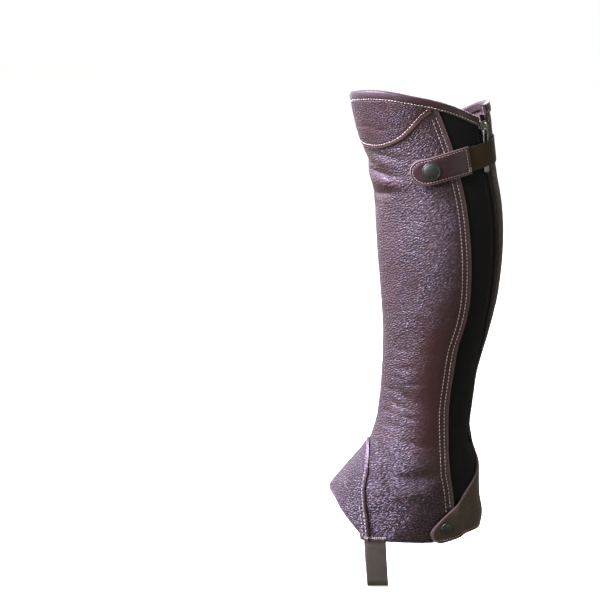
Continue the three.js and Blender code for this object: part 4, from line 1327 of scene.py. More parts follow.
@dataclass
class Shaft:
    """The leather panels of the leg: front panel, inner panel with the heel tab, yoke and toe."""

    columns: int = 150
    rows: int = 230
    edge_strip: float = 2.8
    outer_rows: Pair = (4.0, 8.4)
    inner_rows: Pair = (3.4, 7.4)
    tab_row: float = 3.2
    dent: float = 0.28

    def thread_lift(self, under: float) -> float:
        """Lift of stitches in their dent, on leather that lies over others."""
        return under + LEATHER - self.dent + 0.05

    def front_panel(self) -> None:
        """Pebbled panel from the inner seam over the shin to the outer seam."""
        cut = PanelCut(
            Pattern.inner_seam, Pattern.outer_seam, Pattern.front_foot, Pattern.front_top,
            (54.6, 469), (56, 489.6), self.columns, self.rows,
        )
        angle, height = cut.places()
        per_degree = WORN.directions(angle, height).per_degree
        outer = (Pattern.outer_seam(height) - angle) * per_degree
        inner = (angle - Pattern.inner_seam(height)) * per_degree
        hem = height - Pattern.front_foot(angle)
        lift = OVER_ONE + LEATHER + 0.07 * SoftNoise(7, 4.2, 21).at(angle, height)
        puckers = 1 + 0.6 * SoftNoise(30, 3.4, 27).at(angle, height)
        for edge, rows in ((outer, self.outer_rows), (inner, self.inner_rows)):
            lift += 0.3 * ridge(edge - 2.0, 3.0) * puckers
            for row in rows:
                lift -= self.dent * ridge(edge - row, 2.2)
        lift -= 0.35 * eased(hem, 1.6, 0.0)
        smooth = eased(outer, 62, 20) * eased(height, 330, 250) * eased(height, 95, 140)
        low = eased(height, 175, 120)
        grain = (0.85 - 0.62 * smooth) * (0.6 + 0.4 * eased(outer, 3.0, 9.0)) + 0.3 * low
        strip = eased(outer, self.edge_strip + 0.8, self.edge_strip - 0.6)
        strip = np.maximum(strip, 0.8 * eased(inner, 2.6, 1.4))
        strip = np.maximum(0.22 * strip, 0.6 * eased(np.minimum(hem, outer), 1.3, 0.5))
        red = eased(outer, 70, 10) * eased(height, 120, 200)
        grid = Grid(WORN.lifted(angle, height, lift), leather_tones(grain, strip, red))
        flat = FLAT.at(angle, height)
        flat[..., 1] -= 0.0042 * np.clip(flat[..., 0] - 36.0, 0.0, 75.0) ** 2  # the grain's sag
        piece = add_sheet("front_panel_leather", grid, [SHAFT_LEATHER, FLESH_SIDE, CUT_EDGE],
                          "front_panel", cut=flat)

    def inner_panel(self) -> None:
        """Pebbled panel from the zip round the back to the inner seam, with the plain heel tab."""
        cut = PanelCut(
            Pattern.inner_edge,
            lambda height: WORN.further(Pattern.inner_seam(height), height, SEAM_UNDER) + 360,
            Pattern.hem, lambda angle: Pattern.RIM_BACK.at(angle) - Pattern.TOP_DROP,
            (53.2, 487.6), (55.6, 470), self.columns, self.rows,
        )
        angle, height = cut.places()
        per_degree = WORN.directions(angle, height).per_degree
        zip_side = (angle - Pattern.inner_edge(height)) * per_degree
        hem = height - Pattern.hem(angle)
        tab = eased(angle, 222, 190) * eased(height, 172, 146)
        lift = Pattern.inner_lift(angle, height) + LEATHER
        lift += (1 - tab) * 0.07 * SoftNoise(7, 4.2, 22).at(angle, height)
        lift -= self.dent * ridge(hem - self.tab_row, 2.0) * tab
        lift += 0.12 * ridge(hem - 1.2, 2.0)
        lift -= 0.35 * eased(np.minimum(hem, zip_side), 1.6, 0.0)
        edge = np.maximum(eased(zip_side, 3.4, 2.2) * tab, 0.7 * eased(hem, 1.3, 0.5))
        edge = np.maximum(edge, 0.4 * eased(zip_side, 1.6, 0.8))
        grain = (1 - tab) * (0.68 + 0.2 * eased(height, 180, 120)) + 0.05
        grid = Grid(WORN.lifted(angle, height, lift), leather_tones(grain, edge, 0.25, tab))
        piece = add_sheet("inner_panel_leather", grid, [SHAFT_LEATHER, FLESH_SIDE, CUT_EDGE],
                          "inner_panel", cut=FLAT.at(angle, height))

    def knee_yoke(self) -> None:
        """Flatter-grained yoke laid on the front panel under the binding."""
        u, v = net(171, 57)
        angle = mixed(-42.0, 95.0, u) + 0 * v
        low = Pattern.YOKE_EDGE.at(angle)
        height = mixed(low, Pattern.RIM_FRONT.at(angle) - TopBinding.outside - GAP, v)
        edge = (height - low) * (1 - 0.35 * eased(angle, 55, 80))
        lift = OVER_TWO + LEATHER + 0.05 * SoftNoise(7, 4.2, 23).at(angle, height)
        lift = lift - self.dent * ridge(edge - 3.0, 2.0) + 0.12 * ridge(edge - 1.2, 1.8)
        lift -= 0.4 * eased(edge, 1.2, 0.0)
        strip = np.maximum(0.75 * eased(edge, 1.5, 0.7), 0.5 * eased(angle, 93.5, 94.6))
        grain = 0.75 * eased(edge, 0.5, 6.0) + 0.15
        grid = Grid(WORN.lifted(angle, height, lift), leather_tones(grain, strip))
        piece = add_sheet("knee_yoke_leather", grid, [YOKE_LEATHER, FLESH_SIDE, CUT_EDGE],
                          "knee_yoke", soft=0.25, cut=FLAT.at(angle, height))

    def toe_extension(self) -> None:
        """Saddle-shaped extension over the instep, with the strongest pebbles."""
        u, v = net(161, 101)
        angle = mixed(-77.0, 77.0, u) + 0 * v
        low = 52 + 48 * np.cos(np.radians(90 * angle / 80))
        high = Pattern.TOE_SEAM.at(np.abs(angle))
        height = mixed(low, high, v)
        turn = np.clip(np.abs(angle), 1, 76)
        slope = (Pattern.TOE_SEAM.at(turn + 1) - Pattern.TOE_SEAM.at(turn - 1)) / 2
        upright = 1 / np.hypot(1, slope / WORN.directions(angle, height).per_degree)
        seam, hem = (high - height) * upright, height - low
        lift = OVER_TWO + LEATHER + 0.08 * SoftNoise(6, 4.5, 24).at(angle, height)
        lift = lift - self.dent * ridge(seam - 3.2, 2.2) + 0.15 * ridge(seam - 1.2, 2.0)
        edge = np.minimum(seam, hem)
        lift -= 0.25 * eased(edge, 1.0, 0.0)
        grain = 1.1 * eased(edge, 0.3, 3.0) + 0.1
        tones = leather_tones(grain, 0.65 * eased(hem, 1.6, 0.6))
        grid = Grid(WORN.lifted(angle, height, lift), tones)
        # The rim takes the dark edge finish as a painted shadow line along the extension's edge.
        piece = add_sheet("toe_extension_leather", grid, [TOE_LEATHER, FLESH_SIDE, DARK_EDGE_AND_SHADOW],
                          "toe_extension", soft=0.25, cut=FLAT.at(angle, height))

    def seams(self) -> None:
        """Sews the outer and inner seams, the yoke, the toe extension and the heel tab."""
        face = self.thread_lift(OVER_ONE)
        outer = Needle("outer_seam_stitching")
        for distance, foot in zip(self.outer_rows, (87.5, 83.0)):
            height = np.linspace(foot, 481 - 0.4 * distance, 400)
            angle = WORN.further(Pattern.outer_seam(height), height, -distance)
            outer.on_form(angle, height, face)
        outer.tie_off()
        inner = Needle("inner_seam_stitching")
        for distance in self.inner_rows:
            height = np.linspace(58, 461, 400)
            angle = WORN.further(Pattern.inner_seam(height), height, distance)
            inner.on_form(angle, height, face)
        inner.tie_off()
        yoke = Needle("yoke_stitching")
        angle = np.linspace(-41, 93, 300)
        height = Pattern.YOKE_EDGE.at(angle) + 3.0 * (1 + 0.5 * eased(angle, 55, 80))
        yoke.on_form(angle, height, self.thread_lift(OVER_TWO), pitch=3.3, thick=0.8)
        yoke.tie_off()
        self.toe_seam()
        heel = Needle("heel_tab_stitching")
        angle = np.linspace(WORN.angle_at(8.0, 57.5, Side.OUTSIDE), 236, 300)
        height = Pattern.hem(angle) + self.tab_row
        lift = Pattern.inner_lift(angle, height) + LEATHER - 0.8 * self.dent
        heel.on_form(angle, height, lift, pitch=3.3, thick=0.55)
        heel.tie_off()

    def toe_seam(self) -> None:
        """Sews the toe extension on along its upper edge, with a second short row at each foot."""
        toe = Needle("toe_extension_stitching")
        for distance, start in ((3.2, 0.0), (6.6, 62.0)):
            for side in (1, -1):
                turn = np.linspace(start, 76.0, 400)
                height = Pattern.TOE_SEAM.at(turn)
                points = WORN.lifted(side * turn, height, self.thread_lift(OVER_TWO))
                out = WORN.directions(side * turn, height).out
                along = unit(np.gradient(points, axis=0))
                inward = side * unit(np.cross(along, out))
                points = points + distance * inward
                keep = points[:, 2] + HOLD_HEIGHT > 56.5
                toe.line(points[keep], out[keep], pitch=3.4, thick=0.58)
        toe.tie_off()

    def build(self) -> None:
        """Makes all leather panels and their stitching."""
        self.front_panel()
        self.inner_panel()
        self.knee_yoke()
        self.toe_extension()
        self.seams()


@dataclass
class TopBinding:
    """Smooth leather folded over the top edge, open at the zip: a U in section round the rim."""

    outside: float = 10.0
    inside: float = 8.0
    crown: float = 2.3
    seat: float = 1.7
    stitch_drop: float = 8.3
    dent: float = 0.3
    legs: Pair = (0.38, 0.72)

    def rim(self, angle: Array) -> Array:
        """Height of the top edge, from the zip's inner side round the shin to its outer side."""
        return np.where(angle < -70, Pattern.RIM_BACK.at(angle + 360), Pattern.RIM_FRONT.at(angle))

    def shell(self, angle: Array) -> Array:
        """How far the binding's outer face stands off, higher over the front panel.

        Args:
            angle: places round the rim.

        Returns:
            The lift of the outer face.
        """
        middle = self.rim(angle) - self.outside / 2
        inner, outer = Pattern.inner_seam(middle) - angle, angle - Pattern.outer_seam(middle)
        return OVER_ONE * (1 + eased(inner, 12, 4) * eased(outer, 12, 4)) + LEATHER

    def ends(self) -> Pair:
        """Angles of the binding's two ends at the zip."""
        start = Pattern.beside_zip(490, Pattern.ZIP_OPENING) - 360
        return float(start), float(Pattern.beside_zip(474, -Pattern.ZIP_OPENING))

    def build(self) -> None:
        """Makes the binding and its row of stitches."""
        start, end = self.ends()
        u, v = net(361, 49)
        angle = mixed(start, end, u) + 0 * v
        shell, seat = self.shell(angle), -self.seat
        first, last = self.legs
        turn = np.pi * np.clip((v - first) / (last - first), 0, 1)
        drop = mixed(self.outside, self.crown, v / first)
        drop = np.where(v < first, drop, self.crown * (1 - np.sin(turn)))
        inner_leg = mixed(self.crown, self.inside, (v - last) / (1 - last))
        drop = np.where(v > last, inner_leg, drop)
        offset = (shell + seat) / 2 + (shell - seat) / 2 * np.cos(turn)
        pucker = SoftNoise(3.6, 40, 31).at(angle, drop) * 0.14
        pucker += SoftNoise(12, 40, 32).at(angle, drop) * 0.2
        outer_leg = eased(v, 0.55, 0.4)
        padded = 0.25 * np.sin(np.pi * np.clip(drop / 9, 0, 1))
        offset += outer_leg * (padded + pucker * eased(drop, 10, 7))
        offset -= outer_leg * self.dent * ridge(drop - self.stitch_drop, 2.2)
        offset -= outer_leg * 0.3 * eased(drop, 9.0, 10.0)
        drop = drop + 0.25 * SoftNoise(9, 40, 33).at(angle, drop) * np.sin(turn)
        # The crown of the fold is painted paler as well: a painted highlight along the top.
        edge = 0.35 * outer_leg * eased(drop, 9.2, 9.9) + 0.22 * np.sin(turn) ** 4
        height = self.rim(angle) - np.maximum(drop, 0.0)
        grid = Grid(WORN.lifted(angle, height, offset), {"edge": edge})
        finishes = [BINDING_LEATHER, BINDING_LEATHER, DARK_EDGE_AND_SHADOW]
        piece = add_sheet("top_binding_leather", grid, finishes,
                          "top_binding", 1.3, 0.25)
        needle = Needle("binding_stitching")
        angle = np.linspace(start + 0.8, end - 0.8, 700)
        height, lift = self.rim(angle) - self.stitch_drop, self.shell(angle) - self.dent + 0.06
        needle.on_form(angle, height, lift, pitch=3.3, thick=0.8)
        needle.tie_off(Slot.SMOOTH)


@dataclass
class ElasticPanel:
    """Black stretch panel between the front panel and the zip, sewn along both edges."""

    foot: float = 66.0
    from_zip: float = 3.0

    def back_edge(self, height: Array) -> Array:
        """Angle of the edge at the zip, which runs on past the zip's line below it."""
        return Pattern.beside_zip(height, mixed(3.0, -Pattern.ZIP_OPENING, eased(height, 142, 152)))

    def build(self) -> None:
        """Makes the panel and the dark row of stitches beside the zip."""
        cut = PanelCut(
            lambda height: WORN.further(Pattern.outer_seam(height), height, -SEAM_UNDER),
            self.back_edge, lambda angle: 0 * angle + self.foot, Pattern.front_top,
            (self.foot, 491.6), (self.foot, 474), 64, 230,
        )
        angle, height = cut.places()
        edge = (self.back_edge(height) - angle) * WORN.directions(angle, height).per_degree
        lift = LEATHER - 0.25 * ridge(edge - self.from_zip, 2.2)
        lift += 0.1 * SoftNoise(5, 12, 41).at(angle, height)
        grid = Grid(WORN.lifted(angle, height, lift))
        piece = add_sheet("elastic_panel_cloth", grid, [BLACK_STRETCH] * 3,
                          "elastic_panel", cut=FLAT.at(angle, height))
        needle = Needle("elastic_stitching", DARK_THREAD)
        height = np.linspace(156, 463, 500)
        angle = WORN.further(self.back_edge(height), height, -self.from_zip)
        needle.on_form(angle, height, LEATHER - 0.15, pitch=3.4, thick=0.45)
        needle.tie_off(Slot.STRETCH)


@dataclass
class Zip:
    """Zip up the back: two halves of tape, a nylon coil, a plated slider and its wire pull."""

    tape_width: float = 11.0
    tape_foot: float = 149.0
    coil_foot: float = 154.5
    slider_height: float = 467.5
    slider: Triple = (11.0, 13.0, 2.6)
    turn_pitch: float = 1.45
    turn_size: Triple = (3.3, 0.92, 1.35)
    pull: Triple = (8.5, 43.0, 1.4)
    seam: float = 4.9

    def slider_place(self) -> Matrix:
        """Where the slider stands on the zip's line."""
        angle = float(Pattern.ZIP_ANGLE.at(self.slider_height))
        return CALM.standing(angle, self.slider_height, 0.0)

    def ribbon(self, name: str, start: float, end: float, head: float, node: str) -> None:
        """Makes one half of the tape with its row of stitches.

        Args:
            name: the piece's name.
            start: distance of its first edge from the zip's middle.
            end: distance of its other edge.
            head: height of its upper end.
            node: the solid that it replaces.
        """
        distance = np.linspace(start, end, 15)[None, :]
        height = np.linspace(self.tape_foot, head, 230)[:, None] + 0 * distance
        angle = Pattern.beside_zip(height, distance)
        lift = -GAP + 0.12 * ridge(np.abs(distance) - 0.8, 1.4)
        grid = Grid(WORN.lifted(angle, height, lift))
        piece = add_sheet(name, grid, [ZIP_TAPE_CLOTH] * 3, node, 0.8, 0.15)
        needle = Needle(name + "_stitching", DARK_THREAD)
        height = np.linspace(158, 455, 500)
        angle = Pattern.beside_zip(height, math.copysign(self.seam, start + end))
        needle.on_form(angle, height, -GAP, pitch=3.2, thick=0.4)
        needle.tie_off(Slot.TAPE)

    def coil(self) -> None:
        """Makes the closed coil as two rows of turns that reach between each other."""
        turns = Beads("zip_coil", ZIP_NYLON)
        head = self.slider_height - self.slider[1] / 2 - 0.8
        height = np.linspace(self.coil_foot, head, 2000)
        middle = WORN.lifted(Pattern.ZIP_ANGLE.at(height), height, 0.8)
        run = run_along(middle)
        level = np.interp(np.arange(0.5, run[-1], self.turn_pitch / 2), run, height)
        side = np.where(np.arange(len(level)) % 2, 1.0, -1.0)
        angle = Pattern.beside_zip(level, side * 1.4)
        ways = WORN.directions(angle, level)
        along = unit(ways.round + 0.14 * side[:, None] * ways.up)
        middle = WORN.lifted(angle, level, 0.78)
        for place, way, out in zip(middle, along, ways.out):
            turns.bead(place, way, out, self.turn_size)
        turns.tie_off(Slot.TEETH, ["zip_chain"])

    def slider_body(self) -> None:
        """Makes the slider: a waisted body with a raised nose, side flanges and the bail."""
        width, length, thick = self.slider
        waist = Track((-0.5, 0.30), (-0.1, 0.41), (0.22, 0.5), (0.42, 0.45), (0.5, 0.38))
        made = bmesh.new()
        bmesh.ops.create_grid(made, x_segments=10, y_segments=20, size=0.5)
        for vert in made.verts:
            vert.co.x *= 2 * float(waist.at(vert.co.y)) * width
            vert.co.y *= length
        raised = only(BMVert, bmesh.ops.extrude_face_region(made, geom=made.faces[:])["geom"])
        bmesh.ops.translate(made, verts=raised, vec=(0, 0, thick))
        for vert in raised:
            side = abs(vert.co.x) / (float(waist.at(vert.co.y / length)) * width)
            nose = ridge(vert.co.y / length - 0.34, 0.36)
            vert.co.z += float(0.35 * nose - 0.5 * eased(side, 0.55, 0.85))
        sharp = math.radians(50)
        rim = [e for e in made.edges if len(e.link_faces) == 2 and e.calc_face_angle() > sharp]
        bmesh.ops.bevel(made, geom=rim, offset=0.4, offset_type="OFFSET", affect="EDGES",
                        segments=3, profile=0.5, material=-1)
        self.bail(made, thick)
        mesh = place_mesh("zip_slider_metal", made, self.slider_place())
        add_piece("zip_slider_metal", mesh, [NICKEL], stands_for=["zip_slider"])

    def bail(self, made: BMesh, seat: float) -> None:
        """Adds the arch that carries the pull.

        Args:
            made: the slider's shape.
            seat: height of the slider's upper face.
        """
        before = set(made.verts)
        strip = bmesh.ops.create_grid(made, x_segments=4, y_segments=2, size=0.5)["verts"]
        for vert in strip:
            vert.co = Vector((vert.co.x * 2.3 * (1 - 0.15 * abs(vert.co.y)), vert.co.y * 1.1, 0))
        bmesh.ops.translate(made, verts=strip, vec=(0, 4.45, 0))
        faces = {f for v in strip for f in v.link_faces}
        edges = {e for f in faces for e in f.edges}
        bmesh.ops.spin(
            made, geom=strip + list(edges) + list(faces), cent=(0, 0, 0), axis=(1, 0, 0),
            angle=math.pi, steps=20, use_merge=False, use_duplicate=False,
        )
        arch = [v for v in made.verts if v not in before]
        bmesh.ops.scale(made, verts=arch, vec=(1, 1, 0.9))
        bmesh.ops.translate(made, verts=arch, vec=(0, 0, seat - 0.25))

    def pull_tab(self) -> None:
        """Makes the pull: a frame of wire with a ribbed plate at its lower end."""
        width, length, wire = self.pull
        half, reach, turn = (width - wire) / 2, length - wire, 1.5
        made = bmesh.new()
        ring = bmesh.ops.create_circle(made, cap_ends=False, segments=14, radius=wire / 2)["verts"]
        upright = Matrix.Rotation(math.pi / 2, 3, "Y")
        bmesh.ops.rotate(made, verts=ring, cent=(0, 0, 0), matrix=upright)
        edges = list({e for v in ring for e in v.link_edges})

        def straight(loop: list[BMEdge], way: Place, steps: int) -> list[BMEdge]:
            """Carries the wire straight on.

            Args:
                loop: the wire's end.
                way: how far it goes.
                steps: number of parts of the way.

            Returns:
                Its new end.
            """
            for _ in range(steps):
                new = bmesh.ops.extrude_edge_only(made, edges=loop)["geom"]
                bmesh.ops.translate(made, verts=only(BMVert, new), vec=Vector(way) / steps)
                loop = only(BMEdge, new)
            return loop

        def corner(loop: list[BMEdge], middle: Place) -> list[BMEdge]:
            """Bends the wire by a quarter turn and returns its new end."""
            how = {"axis": (0, 0, -1), "angle": math.pi / 2, "steps": 6}
            return only(BMEdge, bmesh.ops.spin(made, geom=loop, cent=middle, **how)["geom_last"])

        loop = straight(edges, (half - turn, 0, 0), 2)
        for middle, way, steps in (
            ((half - turn, -turn, 0), (0, 2 * turn - reach, 0), 8),
            ((half - turn, turn - reach, 0), (2 * (turn - half), 0, 0), 4),
            ((turn - half, turn - reach, 0), (0, reach - 2 * turn, 0), 8),
            ((turn - half, -turn, 0), (half - turn, 0, 0), 2),
        ):
            loop = straight(corner(loop, middle), way, steps)
        self.pull_plate(made, half, reach)
        hinge = Matrix.Translation((0, -2.1, self.slider[2] + 1.25))
        aside = Matrix.Rotation(math.radians(-7), 4, "Z")
        tilt = Matrix.Rotation(math.radians(1.5), 4, "X")
        mesh = place_mesh("zip_pull_wire", made, self.slider_place() @ hinge @ aside @ tilt)
        add_piece("zip_pull_wire", mesh, [NICKEL], Body.PULL, ["zip_pull"])

    def pull_plate(self, made: BMesh, half: float, reach: float) -> None:
        """Adds the small ribbed plate between the wires at the pull's lower end.

        Args:
            made: the pull's shape.
            half: distance of each wire from the middle.
            reach: length of the frame.
        """
        plate = bmesh.ops.create_grid(made, x_segments=24, y_segments=6, size=0.5)["verts"]
        for vert in plate:
            vert.co = Vector((vert.co.x * 2 * half, vert.co.y * 7.0 + 3.5 - reach, -0.4))
        faces = list({f for v in plate for f in v.link_faces})
        for vert in only(BMVert, bmesh.ops.extrude_face_region(made, geom=faces)["geom"]):
            vert.co.z = 0.3 + 0.16 * math.cos(vert.co.x / half * 3.5 * math.pi)

    def build(self) -> None:
        """Makes all pieces of the zip."""
        self.ribbon("zip_tape_outer_cloth", -self.tape_width, -GAP, 466.5, "zip_tape_outer")
        self.ribbon("zip_tape_inner_cloth", GAP, self.tape_width, 480.0, "zip_tape_inner")
        self.coil()
        self.slider_body()
        self.pull_tab()


@dataclass
class KneeStrap:
    """Strap that closes over the zip: a stitched leather tab and elastic webbing."""

    start: float = 68.0
    end: float = 121.5
    half: float = 12.6
    length: float = 53.0
    thick: float = 2.4
    seam: float = 2.5
    end_seam: float = 2.6
    webbing_start: float = 115.5
    webbing_end: float = 202.0
    webbing_half: float = 11.6
    webbing_length: float = 93.0
    webbing_rows: Pair = (3.0, 7.5)
    TAB_LIFT = Track((68, 6), (96, 6), (110, 5.5), (124, 5))
    WEBBING_LIFT = Track(
        *((115, 3.5), (123, 3.5), (130, 4.1), (138, 5.1), (153, 5.1), (159, 4), (165, 2.7)),
        *((171, 1.9), (178, 1.75), (202, 1.75)),
    )

    def outline(self, distance: Array) -> Array:
        """Half width of the tab at a distance from its tip."""
        tip = np.sqrt(np.maximum(self.half**2 - np.maximum(self.half - distance, 0) ** 2, 0))
        return tip + 0.9 * distance / self.length

    def tab_angle(self, distance: Array) -> Array:
        """Angle of a distance from the tab's tip."""
        return self.start + (self.end - self.start) * distance / self.length

    def tab(self) -> None:
        """Makes the leather tab with its rounded tip."""
        tip = self.half * (1 - np.cos(np.linspace(math.radians(5), math.pi / 2, 30)))
        distance = np.concatenate([tip, np.linspace(self.half, self.length, 60)[1:]])[None, :]
        v = np.linspace(-1, 1, 41)[:, None]
        angle = self.tab_angle(distance) + 0 * v
        height = STRAP_LINE.at(angle) + v * self.outline(distance)
        inner = self.half - np.hypot(self.half - distance, v * self.outline(distance))
        rim = np.where(distance < self.half, inner, (1 - np.abs(v)) * self.outline(distance))
        end = self.length - distance + 0 * v
        lift = self.TAB_LIFT.at(angle) + self.thick + 0.18 * eased(rim, 2.5, 6.0)
        lift = lift - 0.3 * ridge(rim - self.seam, 2.0) - 0.3 * ridge(end - self.end_seam, 2.0)
        lift -= 0.3 * eased(np.minimum(rim, end), 0.9, 0.0)
        # Painted highlight: the cut edge is paler along the tab's upper side than along its lower
        # side.
        edge = eased(rim, 1.3, 0.6) * (0.45 + 0.55 * (v > -0.2))
        edge = np.maximum(edge, 0.3 * eased(end, 1.0, 0.4))
        grid = Grid(CALM.lifted(angle, height, lift), {"edge": edge})
        piece = add_sheet("strap_tab_leather", grid, [STRAP_LEATHER, STRAP_LEATHER, CUT_EDGE],
                          "strap_tab", self.thick, 0.35)

    def webbing(self) -> None:
        """Makes the elastic webbing from under the tab over the zip to the inner panel."""
        u, v = np.linspace(0, 1, 171)[None, :], np.linspace(-1, 1, 25)[:, None]
        angle = mixed(self.webbing_start, self.webbing_end, u) + 0 * v
        height = STRAP_LINE.at(angle) + self.webbing_half * v
        lift = self.WEBBING_LIFT.at(angle) + ELASTIC + 0.06 * SoftNoise(8, 6, 51).at(angle, height)
        for row in self.webbing_rows:
            lift -= 0.25 * ridge((1 - u) * self.webbing_length - row, 2.0)
        grid = Grid(CALM.lifted(angle, height, lift))
        piece = add_sheet("strap_webbing", grid, [STRAP_ELASTIC] * 3,
                          "strap_elastic", ELASTIC, cut=grid.cut()[..., ::-1])

    def sewing(self) -> None:
        """Sews round the tab, down its end with a bar tack, and the webbing's end on the back."""
        needle = Needle("strap_tab_stitching")
        face = self.thick - 0.24
        turn = np.linspace(0, math.pi / 2, 60)
        near = self.half - (self.half - self.seam) * np.cos(turn)
        far = np.linspace(self.half, self.length - self.end_seam, 120)[1:]
        distance = np.concatenate([near, far])
        distance = np.concatenate([distance[::-1], distance])
        side = (self.half - self.seam) * np.sin(turn)
        side = np.concatenate([side, self.outline(far) - self.seam])
        side = np.concatenate([side[::-1], -side])
        angle = self.tab_angle(distance)
        height, lift = STRAP_LINE.at(angle) + side, self.TAB_LIFT.at(angle) + face
        needle.on_form(angle, height, lift, CALM, pitch=2.9, thick=0.5)
        end = float(self.tab_angle(self.length - self.end_seam))
        middle, lift = STRAP_LINE.at(end), float(self.TAB_LIFT.at(end)) + face
        up = np.linspace(-11.3, 11.3, 60)
        needle.on_form(np.full(60, end), middle + up, lift, CALM, pitch=2.7, thick=0.6)
        for offset in (0.0, 0.9, 1.8):
            low = np.linspace(-10.9, -6.4, 20)
            line = np.full(20, float(self.tab_angle(self.length - 0.9 - offset)))
            needle.on_form(line, middle + low, lift + 0.2, CALM, pitch=1.1, thick=0.6)
        needle.tie_off(Slot.SMOOTH)
        back = Needle("strap_webbing_stitching", DARK_THREAD)
        for row in self.webbing_rows:
            share = row * (self.webbing_end - self.webbing_start) / self.webbing_length
            line = np.full(60, self.webbing_end - share)
            height = STRAP_LINE.at(line) + np.linspace(-10, 10, 60)
            lift = self.WEBBING_LIFT.at(line) + ELASTIC - 0.2
            back.on_form(line, height, lift, CALM, pitch=2.8, thick=0.5)
        back.tie_off(Slot.WEBBING)

    def build(self) -> None:
        """Makes the strap and its stitching."""
        self.tab()
        self.webbing()
        self.sewing()


@dataclass
class Snap:
    """Cap of a press snap: a slightly domed disc with a rolled rim and a fine groove."""

    name: str
    angle: float
    height: float
    radius: float
    lift: float

    def build(self) -> None:
        """Makes the cap and gives the two hidden halves of the snap their metal."""
        r = self.radius
        outline = (
            *((0.0, -0.3), (r - 0.5, -0.3), (r - 0.1, -0.15), (r, 0.3), (r - 0.12, 0.75)),
            *((r - 0.5, 1.05), (r - 0.95, 1.05), (r - 1.25, 0.85), (r - 1.5, 0.95)),
            *((r - 2.2, 1.35), (r * 0.55, 1.8), (r * 0.3, 2.08), (0.0, 2.18)),
        )
        made = bmesh.new()
        verts = [made.verts.new((x, 0.0, z)) for x, z in outline]
        edges = [made.edges.new(pair) for pair in zip(verts, verts[1:])]
        bmesh.ops.spin(made, geom=verts + edges, cent=(0, 0, 0), axis=(0, 0, 1),
                       angle=2 * math.pi, steps=56, use_merge=True)
        name, place = self.name + "_cap", CALM.standing(self.angle, self.height, self.lift)
        mesh = place_mesh(name + "_metal", made, place, 80)
        cap = add_piece(name + "_metal", mesh, [GUNMETAL], stands_for=[name])
        smooth = cap.modifiers.new("round", "SUBSURF")
        smooth.levels = smooth.render_levels = 1
        for half in ("_socket", "_stud"):
            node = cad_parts[self.name + half]
            if node.material_slots:
                node.material_slots[0].material = GUNMETAL.material()
            else:
                node.data.materials.append(GUNMETAL.material())


@dataclass
class Stirrup:
    """Elastic webbing under the sole, sewn inside the hem on both sides with a bold bar."""

    x: float = 65.0
    top: float = 68.0
    width: float = 21.0
    backward: float = 3.5
    sole: float = 6.0
    sole_half: float = 30.0
    corner: float = 10.0
    leaves: float = 50.0
    bar_levels: Pair = (58.0, 59.3)
    bar_ends: Pair = (75.0, 53.5)

    def across(self, height: Array) -> Array:
        """X of the strap's columns at each height, a little further back lower down."""
        middle = self.x - self.backward * (self.top - height) / (self.top - self.sole)
        return middle[:, None] + np.linspace(-0.5, 0.5, 13)[None, :] * self.width

    def leg(self, side: Side, lift: float) -> Array:
        """Half of the strap, from inside the hem to the middle of the corner under the sole.

        Args:
            side: the side of the leg.
            lift: how far its inner face stands off the form.

        Returns:
            Rows of points on its outer face, from the top down.
        """
        high = np.linspace(self.top, self.leaves + 2, 14)
        x = self.across(high)
        level = high[:, None] + 0 * x
        upper = WORN.lifted(WORN.angle_at(x, level, side), level, lift + ELASTIC)
        low = np.linspace(self.leaves, self.sole + self.corner, 26)
        x = self.across(low)
        last = self.leaves + 0 * x
        start = WORN.lifted(WORN.angle_at(x, last, side), last, lift)[..., 1] * side.value
        share = ((low - self.sole - self.corner) / (self.leaves - self.sole - self.corner))[:, None]
        y = side.value * (mixed(self.sole_half + self.corner - ELASTIC, start, share) + ELASTIC)
        straight = np.stack([x, y, low[:, None] - HOLD_HEIGHT + 0 * x], axis=-1)
        turn = np.radians(np.linspace(0, 90, 13))[1:]
        drop = self.sole + self.corner * (1 - np.sin(turn))
        x = self.across(drop)
        y = side.value * (self.sole_half + self.corner * np.cos(turn))[:, None] + 0 * x
        z = (self.sole + self.corner - self.corner * np.sin(turn) - HOLD_HEIGHT)[:, None] + 0 * x
        return np.concatenate([upper, straight, np.stack([x, y, z], axis=-1)])

    def build(self) -> None:
        """Makes the strap and the bars of stitches that hold it."""
        outside = self.leg(Side.OUTSIDE, OVER_ONE - ELASTIC - GAP - 0.1)
        inside = self.leg(Side.INSIDE, -ELASTIC - GAP)
        path = np.concatenate([outside, inside[::-1]])
        middle = path[:, path.shape[1] // 2]
        run = run_along(middle)
        even = np.linspace(0, run[-1], 200)
        flat = path.reshape(len(path), -1)
        points = np.stack([np.interp(even, run, column) for column in flat.T], axis=-1)
        piece = add_sheet("stirrup_webbing", Grid(points.reshape(len(even), -1, 3)),
                          [STIRRUP_ELASTIC] * 3, "stirrup_strap", ELASTIC)
        self.bars()

    def bars(self) -> None:
        """Sews a bold double bar across the strap at the hem on both sides."""
        needle = Needle("stirrup_bar_stitching")
        for side in Side:
            for level in self.bar_levels:
                x = np.linspace(*self.bar_ends, 80)
                height = np.full_like(x, level)
                angle = WORN.angle_at(x, height, side)
                lift = np.where(np.abs(angle) < 76.5, OVER_TWO, OVER_ONE) + LEATHER
                behind = (side is Side.INSIDE) & (angle < Pattern.inner_seam(height))
                lift = np.where(behind, LEATHER, lift)
                needle.on_form(angle, height, lift, pitch=2.1, thick=0.85, share=0.85)
        needle.tie_off()


def looking(place: Place, target: Place) -> Euler:
    """Turn of a lamp or camera that looks from one place at another."""
    return (Vector(target) - Vector(place)).to_track_quat("-Z", "Y").to_euler()


